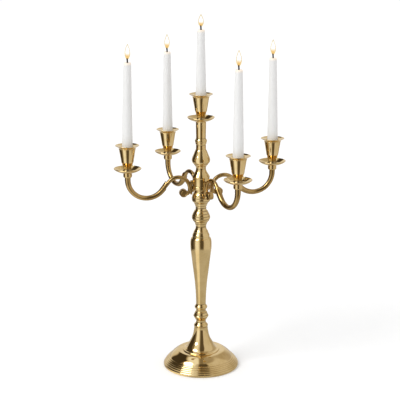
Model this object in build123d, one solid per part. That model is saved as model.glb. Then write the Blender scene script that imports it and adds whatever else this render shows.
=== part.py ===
from build123d import *
import math
import os

# Tabletop candelabra: a turned brass stem on a hollow base, four S-shaped arms, five candle cups.
# Millimetres. The origin is the centre of the footprint on the table, +Z is up and -Y is the front.

# ---------------------------------------------------------------- arms and lights
ARM_AZIMUTHS = (14.0, 118.0, 194.0, 298.0)  # degrees from +X; two opposite pairs, out of square
ARM_REACH = 154.0                           # stem axis to an outer cup's axis
ARM_RISE = 17.5                             # arm's open end above the arm screw
ARCH_STANDOFF = 5.0                         # collar's edge to the arch's centre line
ARCH_DROP = 13.0                            # centre of the arch below the arm screw
ARCH_RADIUS = 25.3
ARM_SLOPE = 49.5                            # degrees that the run from arch to bend drops
BEND_TOP_DROP = 5.0                         # straight upright stub above the bend
BEND_ROD_RADIUS = 5.6
ARCH_ROD_RADIUS = 4.1
CALYX_RADIUS = 6.4
CALYX_SHARE = 0.55                          # part of the run that the calyx takes
SCROLL_RADIUS = 10.0
SCROLL_START = 185.0                        # degrees round the arch where the scroll tightens
SCROLL_TURN = 95.0
BUTTON_RADIUS = 8.5
BUTTON_WIDTH = 11.0
BUTTON_OFFSET = (3.8, -7.2)                 # button's centre from the scroll's centre

LUG_WIDTH = 9.0
LUG_THICKNESS = 3.6
LUG_DROP = 21.5                             # lower round end's centre below the arm screw
LUG_GAP = 0.4                               # lug's back to the collar
BOSS_RADIUS = 4.5
SPOT_DEPTH = 0.7                            # flat seat cut into the round hub
FLANGE_STEP = 1.1                           # collar's edge outside the hub

# ---------------------------------------------------------------- stem, from the table up
PAD_THICKNESS = 1.6
PAD_INSET = 3.2                             # felt pad's edge inside the rim
RIM_LIFT = 0.6                              # the brass rim clears the table by this
BASE_RADIUS = 80.0
BASE_HEIGHT = 87.0
BASE_WALL = 3.2
NECK_RADIUS = 14.3
REED_COUNT = 5
REED_BULGE = 0.7
REED_SPAN = (13.5, 16.0)                    # in and up from the rim's edge to the dome's foot
REED_FOOT_Z = 3.6
REED_CROWN = 0.9
DOME_MIDDLE = (20.4, 26.2)                  # in from the rim, and height
DOME_TOP = (28.4, 29.2)
STEP_RISE = 2.0
TREAD_END = (40.2, 32.6)
RING_RISE = 3.0
TRUMPET = ((0.68, 0.19), (0.39, 0.34), (0.19, 0.55), (0.06, 0.78))  # shares out of the neck, and up
CEILING_DROP = 21.0                         # neck's top down to the roof of the hollow

FOOT_RING_HEIGHT = 11.0
LOWER_KNOP_HEIGHT = 26.0
LOWER_BEAD_HEIGHT = 14.0
COLUMN_HEIGHT = 170.0
MIDDLE_KNOP_HEIGHT = 42.0
LOWER_VASE_HEIGHT = 38.5
COLLAR_HEIGHT = 8.0
HUB_HEIGHT = 36.5
TOP_VASE_HEIGHT = 49.0
TOP_BEAD_HEIGHT = 14.5
TUBE_HEIGHT = 35.5

WAIST_RADIUS = 10.4
LOWER_KNOP_RADIUS = 16.1
LOWER_BEAD_RADIUS = 13.4
COLUMN_RADIUS = 22.6
COLUMN_WALL = 5.0
MIDDLE_KNOP_RADIUS = 19.3
LOWER_VASE_RADIUS = 19.4
HUB_RADIUS = 17.6
HUB_WALL = 4.6
HUB_SKIRT_HEIGHT = 16.0                     # cylindrical part of the hub
SCREW_RISE = 7.5                            # arm screw above the hub's foot
TOP_VASE_RADIUS = 19.0
TOP_BEAD_RADIUS = 12.5

# ---------------------------------------------------------------- lights
FERRULE_WALL = 3.4                          # sleeve outside the bend's rod
FERRULE_HEIGHT = 11.3
PAN_OVERHANG = 3.8                          # pan's edge outside the cup's lip
PAN_DEPTH = 7.6
PAN_WALL = 1.5
CUP_HEIGHT = 54.6                           # above the pan's floor
CUP_LIP_FLARE = 13.4                        # lip outside the candle's foot
CUP_TOP_FLARE = 5.9
CUP_FOOT_FLARE = 1.3
CUP_NECK_RADIUS = 8.0
CUP_LIP_THICKNESS = 1.4
CUP_LIP_HEIGHT = 7.4                        # flared part above the tapered body
CUP_NECK_DROP = 4.2                         # socket's floor down to the waisted neck
SOCKET_SHARE = 0.414                        # part of the cup's height below the socket
SOCKET_RIM = 4.6                            # lip's top down to the socket's mouth
SOCKET_FLOOR_WALL = 5.6
CANDLE_FOOT_RADIUS = 11.1
CANDLE_TAPER = 3.9
CANDLE_FIT = 0.4
CANDLE_LENGTH = 200.0
CENTRE_CANDLE_LENGTH = 162.0
CANDLE_FOOT_LENGTH = 26.0
WICK_RADIUS = 0.9
WICK_STAND = 9.5

# ---------------------------------------------------------------- rod, studs and nuts
ROD_RADIUS = 3.0
ROD_CLEARANCE = 0.3
THREAD_FIT = 0.1
ROD_TAIL = 2.5                              # rod showing below its nut
WASHER_RADIUS = 12.5
WASHER_THICKNESS = 2.0
BASE_NUT_FLATS = 10.0
BASE_NUT_HEIGHT = 5.0
ARM_THREAD_DEPTH = 11.0
ARM_STUD_RADIUS = 2.5
ARM_NUT_FLATS = 8.0
ARM_NUT_HEIGHT = 4.0
ARM_STUD_TAIL = 1.0
HUB_WALL_AT_NUT = 3.7

# ---------------------------------------------------------------- heights that follow
FOOT_RING_Z = BASE_HEIGHT
LOWER_KNOP_Z = FOOT_RING_Z + FOOT_RING_HEIGHT
LOWER_BEAD_Z = LOWER_KNOP_Z + LOWER_KNOP_HEIGHT
COLUMN_Z = LOWER_BEAD_Z + LOWER_BEAD_HEIGHT
MIDDLE_KNOP_Z = COLUMN_Z + COLUMN_HEIGHT
LOWER_VASE_Z = MIDDLE_KNOP_Z + MIDDLE_KNOP_HEIGHT
COLLAR_Z = LOWER_VASE_Z + LOWER_VASE_HEIGHT
HUB_Z = COLLAR_Z + COLLAR_HEIGHT
TOP_VASE_Z = HUB_Z + HUB_HEIGHT
TOP_BEAD_Z = TOP_VASE_Z + TOP_VASE_HEIGHT
TUBE_Z = TOP_BEAD_Z + TOP_BEAD_HEIGHT
CENTRE_SEAT_Z = TUBE_Z + TUBE_HEIGHT        # underside of the middle drip pan

SCREW_Z = HUB_Z + SCREW_RISE
ARM_END_Z = SCREW_Z + ARM_RISE
ARM_SEAT_Z = ARM_END_Z + FERRULE_HEIGHT     # underside of an outer drip pan

# ---------------------------------------------------------------- radii and depths that follow
BORE_RADIUS = ROD_RADIUS + ROD_CLEARANCE
TAPPED_RADIUS = ROD_RADIUS + THREAD_FIT
PAD_RADIUS = BASE_RADIUS - PAD_INSET
CEILING_Z = BASE_HEIGHT - CEILING_DROP
WASHER_Z = CEILING_Z - WASHER_THICKNESS
BASE_NUT_Z = WASHER_Z - BASE_NUT_HEIGHT

HUB_BORE_RADIUS = HUB_RADIUS - HUB_WALL
COLLAR_RADIUS = HUB_RADIUS + FLANGE_STEP
HUB_SEAT = HUB_RADIUS - SPOT_DEPTH          # flat where an arm's boss sits
NUT_SEAT = HUB_SEAT - HUB_WALL_AT_NUT       # flat where an arm's nut sits
LUG_BACK = COLLAR_RADIUS + LUG_GAP
LUG_FRONT = LUG_BACK + LUG_THICKNESS
ARCH_REACH = COLLAR_RADIUS + ARCH_STANDOFF + ARCH_RADIUS

FERRULE_RADIUS = BEND_ROD_RADIUS + FERRULE_WALL
CUP_LIP_RADIUS = CANDLE_FOOT_RADIUS + CUP_LIP_FLARE
CUP_BODY_TOP_RADIUS = CANDLE_FOOT_RADIUS + CUP_TOP_FLARE
CUP_BODY_FOOT_RADIUS = CANDLE_FOOT_RADIUS + CUP_FOOT_FLARE
PAN_RADIUS = CUP_LIP_RADIUS + PAN_OVERHANG
CANDLE_TIP_RADIUS = CANDLE_FOOT_RADIUS - CANDLE_TAPER
SOCKET_FLOOR = SOCKET_SHARE * CUP_HEIGHT    # above the pan's floor, as the next two are
SOCKET_MOUTH = CUP_HEIGHT - SOCKET_RIM
CUP_THREAD_DEPTH = SOCKET_FLOOR - SOCKET_FLOOR_WALL


# ---------------------------------------------------------------- helpers
def solid_of(shape):
    """The one solid in a shape, so that every node is a plain solid."""
    return shape.solids().sort_by(SortBy.VOLUME)[-1]


def turned(curves, bore=BORE_RADIUS, z=0.0):
    """Turn a chain of curves, which runs up the outside from foot to top, about a plain bore."""
    foot = curves[0] @ 0
    top = curves[-1] @ 1
    closing = Polyline((top.X, top.Y), (bore, top.Y), (bore, foot.Y), (foot.X, foot.Y))
    face = make_face(Curve() + curves + [closing])
    return Pos(0, 0, z) * solid_of(revolve(Plane.XZ * face, Axis.Z))


def rod(radius, low, high):
    """Upright round bar on the Z axis."""
    return Pos(0, 0, low) * Cylinder(radius, high - low, align=(Align.CENTER, Align.CENTER, Align.MIN))


def hex_nut(flats, height, hole):
    """Hexagon nut on the Z axis, foot at z = 0."""
    body = extrude(RegularPolygon(flats / 2, 6, major_radius=False), height)
    return solid_of(body - rod(hole, -1, height + 1))


def radial(shape, reach, height):
    """Lay a shape that stands on the Z axis along +X, with its foot at this reach and height."""
    return Pos(reach, 0, height) * Rot(0, 90, 0) * shape


def around(shape, azimuth):
    return Rot(0, 0, azimuth) * shape


def write(name, shape):
    shape.label = name
    export_step(shape, os.path.join("parts", name + ".step"))


# ---------------------------------------------------------------- base
def rim_point(share):
    """Point on the arc that the rim's reeds follow: 0 at the table, 1 at the dome."""
    crown = REED_CROWN * math.sin(math.pi * share)
    return (BASE_RADIUS - REED_SPAN[0] * share + crown, REED_FOOT_Z + REED_SPAN[1] * share + crown)


def reeds():
    """Row of convex reeds up the rim, with a sharp valley between each two."""
    curves = []
    for k in range(REED_COUNT):
        start = rim_point(k / REED_COUNT)
        end = rim_point((k + 1) / REED_COUNT)
        slope = math.hypot(end[0] - start[0], end[1] - start[1])
        normal = ((end[1] - start[1]) / slope, (start[0] - end[0]) / slope)
        middle = ((start[0] + end[0]) / 2 + REED_BULGE * normal[0],
                  (start[1] + end[1]) / 2 + REED_BULGE * normal[1])
        curves.append(ThreePointArc(start, middle, end))
    return curves


def base():
    """Hollow cast base: reeded rim, dome, two steps and a trumpet neck."""
    edge = rim_point(0)
    dome_foot = rim_point(1)
    dome_start = (dome_foot[0] - 0.5, dome_foot[1] + 0.9)
    dome_middle = (BASE_RADIUS - DOME_MIDDLE[0], DOME_MIDDLE[1])
    dome_top = (BASE_RADIUS - DOME_TOP[0], DOME_TOP[1])
    step_foot = (dome_top[0] - 0.6, dome_top[1] + 0.2)
    step_top = (step_foot[0] - 1.2, step_foot[1] + STEP_RISE)
    tread_end = (BASE_RADIUS - TREAD_END[0], TREAD_END[1])
    ring_top = (tread_end[0] - 0.8, tread_end[1] + RING_RISE)
    trumpet_foot = (ring_top[0] - 2.6, ring_top[1] + 1.0)
    neck_top = (NECK_RADIUS, BASE_HEIGHT)
    trumpet = [(neck_top[0] + out * (trumpet_foot[0] - neck_top[0]),
                trumpet_foot[1] + up * (neck_top[1] - trumpet_foot[1])) for out, up in TRUMPET]
    land = (BASE_RADIUS - 0.7, RIM_LIFT)
    rim_foot = (BASE_RADIUS, RIM_LIFT + 0.8)

    outside = [
        Line(land, rim_foot),
        Line(rim_foot, edge),
        *reeds(),
        Line(dome_foot, dome_start),
        ThreePointArc(dome_start, dome_middle, dome_top),
        Line(dome_top, step_foot),
        ThreePointArc(step_foot, (step_foot[0] - 0.2, step_top[1] - 0.6), step_top),
        Line(step_top, tread_end),
        Line(tread_end, ring_top),
        Line(ring_top, trumpet_foot),
        Spline(trumpet_foot, *trumpet, neck_top, tangents=((-1, 0.9), (0, 1))),
    ]
    wall = BASE_WALL
    pocket = PAD_RADIUS + 0.2
    shelf = PAD_RADIUS - wall
    inside = Polyline(
        neck_top,
        (BORE_RADIUS, BASE_HEIGHT),
        (BORE_RADIUS, CEILING_Z),
        (WASHER_RADIUS + 0.7, CEILING_Z),
        *[(radius - 1.1 * wall, z - 0.7 * wall) for radius, z in reversed([trumpet_foot, *trumpet[:3]])],
        (dome_top[0] - 1.2 * wall, dome_top[1] - 0.6 * wall),
        (dome_middle[0] - 0.6 * wall, dome_middle[1] - 1.1 * wall),
        (dome_foot[0] - 0.9 * wall, dome_foot[1] - 0.9 * wall),
        (shelf, PAD_THICKNESS + wall),
        (shelf, PAD_THICKNESS),
        (pocket, PAD_THICKNESS),
        (pocket, RIM_LIFT),
        land,
    )
    face = make_face(Curve() + outside + [inside])
    return solid_of(revolve(Plane.XZ * face, Axis.Z))


# ---------------------------------------------------------------- stem
def foot_ring():
    height = FOOT_RING_HEIGHT
    lip = (NECK_RADIUS + 0.7, 2.6)
    shoulder = (NECK_RADIUS - 0.6, 5.0)
    curves = [
        ThreePointArc((NECK_RADIUS - 0.2, 0), lip, shoulder),
        Spline(shoulder, (NECK_RADIUS - 2.6, 7.2), (WAIST_RADIUS, height), tangents=((-0.6, 1), (0, 1))),
    ]
    return turned(curves, z=FOOT_RING_Z)


def lower_knop():
    height = LOWER_KNOP_HEIGHT
    belly = LOWER_KNOP_RADIUS
    middle = height / 2
    curves = [
        Line((WAIST_RADIUS, 0), (WAIST_RADIUS, 3.2)),
        ThreePointArc((WAIST_RADIUS, 3.2), (WAIST_RADIUS + 0.9, 3.9), (WAIST_RADIUS + 1.5, 4.9)),
        Line((WAIST_RADIUS + 1.5, 4.9), (belly - 0.6, middle - 1.8)),
        ThreePointArc((belly - 0.6, middle - 1.8), (belly, middle), (belly - 0.8, middle + 1.6)),
        Line((belly - 0.8, middle + 1.6), (WAIST_RADIUS + 2.2, height - 5.0)),
        ThreePointArc((WAIST_RADIUS + 2.2, height - 5.0), (WAIST_RADIUS + 1.5, height - 3.8),
                      (WAIST_RADIUS, height - 3.0)),
        Line((WAIST_RADIUS, height - 3.0), (WAIST_RADIUS, height)),
    ]
    return turned(curves, z=LOWER_KNOP_Z)


def lower_bead():
    height = LOWER_BEAD_HEIGHT
    curves = [
        Line((WAIST_RADIUS, 0), (WAIST_RADIUS, 2.2)),
        ThreePointArc((WAIST_RADIUS, 2.2), (LOWER_BEAD_RADIUS, 6.4), (WAIST_RADIUS + 1.0, 10.6)),
        ThreePointArc((WAIST_RADIUS + 1.0, 10.6), (WAIST_RADIUS + 0.3, 12.0), (WAIST_RADIUS, height)),
    ]
    return turned(curves, z=LOWER_BEAD_Z)


def column():
    """Long baluster, cored, with two fine steps under its top neck."""
    height = COLUMN_HEIGHT
    belly_z = height - 38.0
    brow = (COLUMN_RADIUS - 2.2, height - 24.5)
    ledge = (COLUMN_RADIUS - 4.6, height - 20.3)
    ledge_end = (COLUMN_RADIUS - 5.4, height - 15.8)
    lip = (COLUMN_RADIUS - 7.5, height - 11.4)
    lip_end = (COLUMN_RADIUS - 8.0, height - 9.0)
    top = (WAIST_RADIUS + 0.6, height)
    taper = [
        (WAIST_RADIUS, 0),
        (WAIST_RADIUS + 0.4, 0.12 * belly_z),
        (WAIST_RADIUS + 2.6, 0.36 * belly_z),
        (COLUMN_RADIUS - 5.4, 0.62 * belly_z),
        (COLUMN_RADIUS - 1.6, 0.85 * belly_z),
        (COLUMN_RADIUS, belly_z),
    ]
    curves = [
        Spline(*taper, tangents=((0, 1), (0, 1))),
        Spline((COLUMN_RADIUS, belly_z), (COLUMN_RADIUS - 0.7, height - 29.0), brow,
               tangents=((0, 1), (-1, 1.4))),
        Line(brow, (brow[0] - 0.9, brow[1] + 0.4)),
        ThreePointArc((brow[0] - 0.9, brow[1] + 0.4), (ledge[0] + 0.3, ledge[1] - 1.8), ledge),
        ThreePointArc(ledge, (ledge[0] + 0.1, ledge[1] + 2.2), ledge_end),
        Line(ledge_end, lip),
        ThreePointArc(lip, (lip[0] + 0.2, lip[1] + 1.3), lip_end),
        Spline(lip_end, (WAIST_RADIUS + 1.8, height - 5.0), top, tangents=((-1, 1), (0, 1))),
    ]
    body = turned(curves)
    core_taper = [(radius - COLUMN_WALL, z) for radius, z in taper[2:]]
    core_top = (BORE_RADIUS, height - 24.0)
    core = make_face(Curve() + [
        Spline(*core_taper, tangents=((0.12, 1), (0, 1))),
        Polyline(core_taper[-1], core_top, (0, core_top[1]), (0, core_taper[0][1] - 6.0),
                 (BORE_RADIUS, core_taper[0][1] - 6.0), core_taper[0]),
    ])
    hollow = revolve(Plane.XZ * core, Axis.Z)
    return Pos(0, 0, COLUMN_Z) * solid_of(body - hollow)


def middle_knop():
    height = MIDDLE_KNOP_HEIGHT
    neck = WAIST_RADIUS + 0.6
    belly = MIDDLE_KNOP_RADIUS
    ring = (belly - 2.6, 12.6)
    curves = [
        Spline((neck, 0), (neck + 1.6, 6.6), (ring[0] - 0.6, ring[1]), tangents=((0, 1), (1.2, 1))),
        ThreePointArc((ring[0] - 0.6, ring[1]), (ring[0] + 0.5, ring[1] + 1.0),
                      (ring[0] + 0.3, ring[1] + 2.2)),
        Spline((ring[0] + 0.3, ring[1] + 2.2), (belly, 20.4), (belly - 2.2, 28.2), (neck + 1.4, height - 5.6),
               (neck + 0.3, height), tangents=((1, 0.9), (0, 1))),
    ]
    return turned(curves, z=MIDDLE_KNOP_Z)


def lower_vase():
    height = LOWER_VASE_HEIGHT
    neck = WAIST_RADIUS + 0.9
    belly = LOWER_VASE_RADIUS
    step = (belly - 3.0, 11.6)
    throat = belly - 5.8
    curves = [
        Spline((neck, 0), (neck + 1.6, 5.2), step, tangents=((0, 1), (1, 0.9))),
        Line(step, (step[0] + 0.9, step[1] + 0.5)),
        Spline((step[0] + 0.9, step[1] + 0.5), (belly, 18.4), (belly - 4.4, 31.4), (throat, height - 2.4),
               tangents=((0.9, 1), (0, 1))),
        ThreePointArc((throat, height - 2.4), (throat + 0.4, height - 1.0), (throat + 1.2, height)),
    ]
    return turned(curves, z=LOWER_VASE_Z)


def hub_collar():
    height = COLLAR_HEIGHT
    edge = COLLAR_RADIUS
    curves = [
        ThreePointArc((edge - 1.6, 0), (edge - 0.5, 0.5), (edge, 1.6)),
        Line((edge, 1.6), (edge, height - 2.0)),
        ThreePointArc((edge, height - 2.0), (edge - 0.4, height - 0.6), (edge - 1.4, height)),
    ]
    return turned(curves, z=COLLAR_Z)


def arm_hub():
    """Hub with a flat seat, a drilled wall and an inner nut seat for each arm."""
    height = HUB_HEIGHT
    skirt = HUB_SKIRT_HEIGHT
    brow = (HUB_RADIUS - 0.9, skirt + 6.6)
    curves = [
        Line((HUB_RADIUS, 0), (HUB_RADIUS, skirt)),
        ThreePointArc((HUB_RADIUS, skirt), (HUB_RADIUS + 0.8, skirt + 2.0), (HUB_RADIUS + 0.3, skirt + 4.2)),
        Line((HUB_RADIUS + 0.3, skirt + 4.2), brow),
        Spline(brow, (HUB_RADIUS - 5.0, skirt + 13.0), (WAIST_RADIUS, height), tangents=((-0.6, 1), (0, 1))),
    ]
    hub = turned(curves) - rod(HUB_BORE_RADIUS, -1, skirt - 2)
    outer_seat = radial(rod(BOSS_RADIUS + 0.4, HUB_SEAT, HUB_RADIUS + 3), 0, SCREW_RISE)
    nut_corner = ARM_NUT_FLATS / math.sqrt(3)
    inner_seat = radial(rod(nut_corner + 0.4, NUT_SEAT - 5, NUT_SEAT), 0, SCREW_RISE)
    hole = radial(rod(ARM_STUD_RADIUS + ROD_CLEARANCE, NUT_SEAT - 1, HUB_SEAT + 1), 0, SCREW_RISE)
    for azimuth in ARM_AZIMUTHS:
        for cut in (outer_seat, inner_seat, hole):
            hub -= around(cut, azimuth)
    return Pos(0, 0, HUB_Z) * solid_of(hub)


def top_vase():
    height = TOP_VASE_HEIGHT
    belly = TOP_VASE_RADIUS
    step = (belly - 4.2, 9.4)
    curves = [
        Spline((WAIST_RADIUS, 0), (WAIST_RADIUS + 1.5, 5.0), (step[0] - 0.8, step[1] - 1.8),
               tangents=((0, 1), (1, 0.8))),
        ThreePointArc((step[0] - 0.8, step[1] - 1.8), (step[0], step[1] - 1.0), step),
        Line(step, (step[0] + 1.4, step[1] + 1.2)),
        Spline((step[0] + 1.4, step[1] + 1.2), (belly, 18.4), (belly - 3.5, 29.0), (WAIST_RADIUS + 1.1, 38.6),
               (WAIST_RADIUS - 0.1, height), tangents=((1, 0.9), (0, 1))),
    ]
    return turned(curves, z=TOP_VASE_Z)


def top_bead():
    height = TOP_BEAD_HEIGHT
    curves = [
        ThreePointArc((WAIST_RADIUS - 0.1, 0), (WAIST_RADIUS + 0.1, 1.2), (WAIST_RADIUS + 0.7, 2.6)),
        Line((WAIST_RADIUS + 0.7, 2.6), (TOP_BEAD_RADIUS - 0.5, 6.8)),
        ThreePointArc((TOP_BEAD_RADIUS - 0.5, 6.8), (TOP_BEAD_RADIUS, 9.2), (WAIST_RADIUS + 0.5, 12.6)),
        ThreePointArc((WAIST_RADIUS + 0.5, 12.6), (WAIST_RADIUS, 13.4), (WAIST_RADIUS - 0.2, height)),
    ]
    return turned(curves, z=TOP_BEAD_Z)


def candle_tube():
    height = TUBE_HEIGHT
    curves = [
        Line((WAIST_RADIUS - 0.3, 0), (WAIST_RADIUS + 0.3, height - 4.0)),
        ThreePointArc((WAIST_RADIUS + 0.3, height - 4.0), (WAIST_RADIUS + 0.6, height - 1.6),
                      (WAIST_RADIUS + 1.3, height)),
    ]
    return turned(curves, z=TUBE_Z)


# ---------------------------------------------------------------- arms
def arm_path():
    """Centre line of an arm in its own plane, as points and arcs worked out from the arm's sizes.

    The run between arch and bend touches both circles, so the path has no corner anywhere.
    """
    slope = math.radians(ARM_SLOPE)
    normal = (math.sin(slope), math.cos(slope))
    arch = (ARCH_REACH, SCREW_Z - ARCH_DROP)
    arch_foot = (arch[0] + ARCH_RADIUS * normal[0], arch[1] + ARCH_RADIUS * normal[1])
    bend_top = ARM_END_Z - BEND_TOP_DROP
    across = (ARM_REACH - arch_foot[0]) * normal[0] + (bend_top - arch_foot[1]) * normal[1]
    bend_radius = across / (1 + normal[0])
    bend = (ARM_REACH - bend_radius, bend_top)
    bend_foot = (bend[0] - bend_radius * normal[0], bend[1] - bend_radius * normal[1])
    return arch, arch_foot, bend, bend_foot, bend_radius


def on_circle(centre, radius, degrees):
    turn = math.radians(degrees)
    return (centre[0] + radius * math.cos(turn), centre[1] + radius * math.sin(turn))


def swept_rod(curves, radius):
    """Round rod along a chain of curves in the XZ plane."""
    path = Plane.XZ * Wire([curve.edge() for curve in curves])
    start = Plane(origin=path @ 0, z_dir=path % 0)
    return sweep(start * Circle(radius), path=path)


def arm():
    """One cast arm, drawn along +X: bend and calyx, arch and scroll, button, lug and boss."""
    arch, arch_foot, bend, bend_foot, bend_radius = arm_path()
    run = (arch_foot[0] - bend_foot[0], arch_foot[1] - bend_foot[1])
    run_length = math.hypot(*run)
    run_way = (run[0] / run_length, run[1] / run_length)
    calyx_length = CALYX_SHARE * run_length
    calyx_end = (bend_foot[0] + calyx_length * run_way[0], bend_foot[1] + calyx_length * run_way[1])

    low = -90 - ARM_SLOPE
    bend_rod = swept_rod([
        Line((ARM_REACH, ARM_END_Z), (ARM_REACH, bend[1])),
        ThreePointArc((ARM_REACH, bend[1]), on_circle(bend, bend_radius, low / 2), bend_foot),
    ], BEND_ROD_RADIUS)

    flare_length = calyx_length + 1.2 * CALYX_RADIUS
    flare_radius = BEND_ROD_RADIUS + (CALYX_RADIUS - BEND_ROD_RADIUS) * flare_length / calyx_length
    flare = Cone(BEND_ROD_RADIUS, flare_radius, flare_length, align=(Align.CENTER, Align.CENTER, Align.MIN))
    start = Plane(origin=(bend_foot[0], 0, bend_foot[1]), z_dir=(run_way[0], 0, run_way[1]))
    beyond = Pos(calyx_end[0] - ARM_REACH, 0, calyx_end[1]) * Box(2 * ARM_REACH, ARM_REACH, ARM_REACH)
    outer = bend_rod + (start * flare - beyond)

    scroll = on_circle(arch, ARCH_RADIUS - SCROLL_RADIUS, SCROLL_START)
    scroll_end = SCROLL_START + SCROLL_TURN
    arch_start = 90 - ARM_SLOPE
    inner = swept_rod([
        Line(bend_foot, arch_foot),
        ThreePointArc(arch_foot, on_circle(arch, ARCH_RADIUS, (arch_start + SCROLL_START) / 2),
                      on_circle(arch, ARCH_RADIUS, SCROLL_START)),
        ThreePointArc(on_circle(scroll, SCROLL_RADIUS, SCROLL_START),
                      on_circle(scroll, SCROLL_RADIUS, (SCROLL_START + scroll_end) / 2),
                      on_circle(scroll, SCROLL_RADIUS, scroll_end)),
    ], ARCH_ROD_RADIUS)

    button = Cylinder(BUTTON_RADIUS, BUTTON_WIDTH)
    button = chamfer(button.edges().filter_by(GeomType.CIRCLE), 0.6)
    button = Pos(scroll[0] + BUTTON_OFFSET[0], 0, scroll[1] + BUTTON_OFFSET[1]) * Rot(90, 0, 0) * button

    lug = extrude(SlotCenterToCenter(LUG_DROP, LUG_WIDTH), LUG_THICKNESS)
    lug = Pos(LUG_BACK, 0, SCREW_Z - LUG_DROP / 2) * Rot(0, 90, 0) * lug
    boss = radial(rod(BOSS_RADIUS, HUB_SEAT, LUG_BACK + 1), 0, SCREW_Z)

    body = outer + inner + button + lug + boss
    body -= radial(rod(ARM_STUD_RADIUS + THREAD_FIT, HUB_SEAT - 1, LUG_FRONT - 1), 0, SCREW_Z)
    body -= Pos(ARM_REACH, 0, 0) * rod(TAPPED_RADIUS, ARM_END_Z - ARM_THREAD_DEPTH, ARM_END_Z + 1)
    return solid_of(body)


def arm_stud():
    return radial(rod(ARM_STUD_RADIUS, NUT_SEAT - ARM_NUT_HEIGHT - ARM_STUD_TAIL, LUG_FRONT - 1), 0, SCREW_Z)


def arm_nut():
    nut = hex_nut(ARM_NUT_FLATS, ARM_NUT_HEIGHT, ARM_STUD_RADIUS + THREAD_FIT)
    return radial(nut, NUT_SEAT - ARM_NUT_HEIGHT, SCREW_Z)


# ---------------------------------------------------------------- lights, drawn on the Z axis
def ferrule():
    """Short sleeve on an arm's end, rounded at its foot."""
    round_foot = FERRULE_RADIUS - BEND_ROD_RADIUS
    curves = [
        ThreePointArc((BEND_ROD_RADIUS, 0), on_circle((BEND_ROD_RADIUS, round_foot), round_foot, -40),
                      (FERRULE_RADIUS, round_foot)),
        Line((FERRULE_RADIUS, round_foot), (FERRULE_RADIUS, FERRULE_HEIGHT)),
    ]
    return turned(curves)


def drip_pan():
    """Thin spun dish with a turned-up lip, foot at z = 0."""
    wall = PAN_WALL
    edge = PAN_RADIUS
    flat = edge - 16.3
    under = Spline((flat, 0), (edge - 8.3, 2.0), (edge - 3.0, 4.8), (edge - 0.5, PAN_DEPTH - 0.4),
                   tangents=((1, 0), (0.7, 1)))
    lip = ThreePointArc((edge - 0.5, PAN_DEPTH - 0.4), (edge, PAN_DEPTH + 0.5), (edge - 0.8, PAN_DEPTH + 1.0))
    over = Spline((edge - 0.8, PAN_DEPTH + 1.0), (edge - 3.8, 5.4 + 0.6 * wall), (edge - 8.8, 2.0 + wall),
                  (flat, wall), tangents=((-0.7, -1), (-1, 0)))
    close = Polyline((flat, wall), (BORE_RADIUS, wall), (BORE_RADIUS, 0), (flat, 0))
    face = make_face(Curve() + [under, lip, over, close])
    return solid_of(revolve(Plane.XZ * face, Axis.Z))


def candle_cup():
    """Cup with a flared lip, a tapered body and a waisted neck, foot at z = 0."""
    body_top = CUP_HEIGHT - CUP_LIP_HEIGHT
    neck_top = SOCKET_FLOOR - CUP_NECK_DROP
    foot = CUP_BODY_FOOT_RADIUS - 0.9
    lip = (CUP_LIP_RADIUS, CUP_HEIGHT - 0.5)
    socket = CANDLE_FOOT_RADIUS + CANDLE_FIT
    outside = [
        Line((foot, 0), (foot, 0.8)),
        Spline((foot, 0.8), (CUP_NECK_RADIUS + 0.9, 3.4), (CUP_NECK_RADIUS, 7.6),
               (CUP_NECK_RADIUS + 2.2, neck_top - 5.2), (CUP_BODY_FOOT_RADIUS - 0.7, neck_top),
               tangents=((-1, 0.35), (0.35, 1))),
        Line((CUP_BODY_FOOT_RADIUS - 0.7, neck_top), (CUP_BODY_FOOT_RADIUS, neck_top + 1.2)),
        Line((CUP_BODY_FOOT_RADIUS, neck_top + 1.2), (CUP_BODY_TOP_RADIUS, body_top)),
        ThreePointArc((CUP_BODY_TOP_RADIUS, body_top), (CUP_BODY_TOP_RADIUS + 0.6, body_top + 0.6),
                      (CUP_BODY_TOP_RADIUS + 0.2, body_top + 1.3)),
        Spline((CUP_BODY_TOP_RADIUS + 0.2, body_top + 1.3), (CUP_LIP_RADIUS - 4.6, CUP_HEIGHT - 3.2), lip,
               tangents=((0.3, 1), (1, 0.45))),
        ThreePointArc(lip, (CUP_LIP_RADIUS - 0.1, CUP_HEIGHT), (CUP_LIP_RADIUS - 0.7, CUP_HEIGHT)),
        Spline((CUP_LIP_RADIUS - 0.7, CUP_HEIGHT),
               (CUP_LIP_RADIUS - 5.6, CUP_HEIGHT - 3.2 + CUP_LIP_THICKNESS),
               (socket + 0.6, SOCKET_MOUTH), tangents=((-1, -0.35), (-0.5, -1))),
        Line((socket + 0.6, SOCKET_MOUTH), (socket, SOCKET_MOUTH - 1.2)),
        Line((socket, SOCKET_MOUTH - 1.2), (socket, SOCKET_FLOOR)),
        Line((socket, SOCKET_FLOOR), (0, SOCKET_FLOOR)),
    ]
    thread_top = CUP_THREAD_DEPTH
    close = Polyline((0, SOCKET_FLOOR), (0, thread_top), (TAPPED_RADIUS, thread_top), (TAPPED_RADIUS, 0),
                     (foot, 0))
    face = make_face(Curve() + outside + [close])
    return solid_of(revolve(Plane.XZ * face, Axis.Z))


def candle(length):
    """Dinner candle, foot at z = 0: plain foot, long taper, softened shoulder and a wick hole."""
    hole = WICK_RADIUS + THREAD_FIT
    tip = CANDLE_TIP_RADIUS
    curves = [
        Line((CANDLE_FOOT_RADIUS, 0), (CANDLE_FOOT_RADIUS, CANDLE_FOOT_LENGTH)),
        Line((CANDLE_FOOT_RADIUS, CANDLE_FOOT_LENGTH), (tip + 0.4, length - 5.0)),
        Spline((tip + 0.4, length - 5.0), (tip - 1.2, length - 1.4), (tip - 3.4, length - 0.4),
               tangents=((-0.03, 1), (-1, 0.2))),
        Line((tip - 3.4, length - 0.4), (tip - 4.6, length)),
    ]
    return turned(curves, bore=hole)


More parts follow.
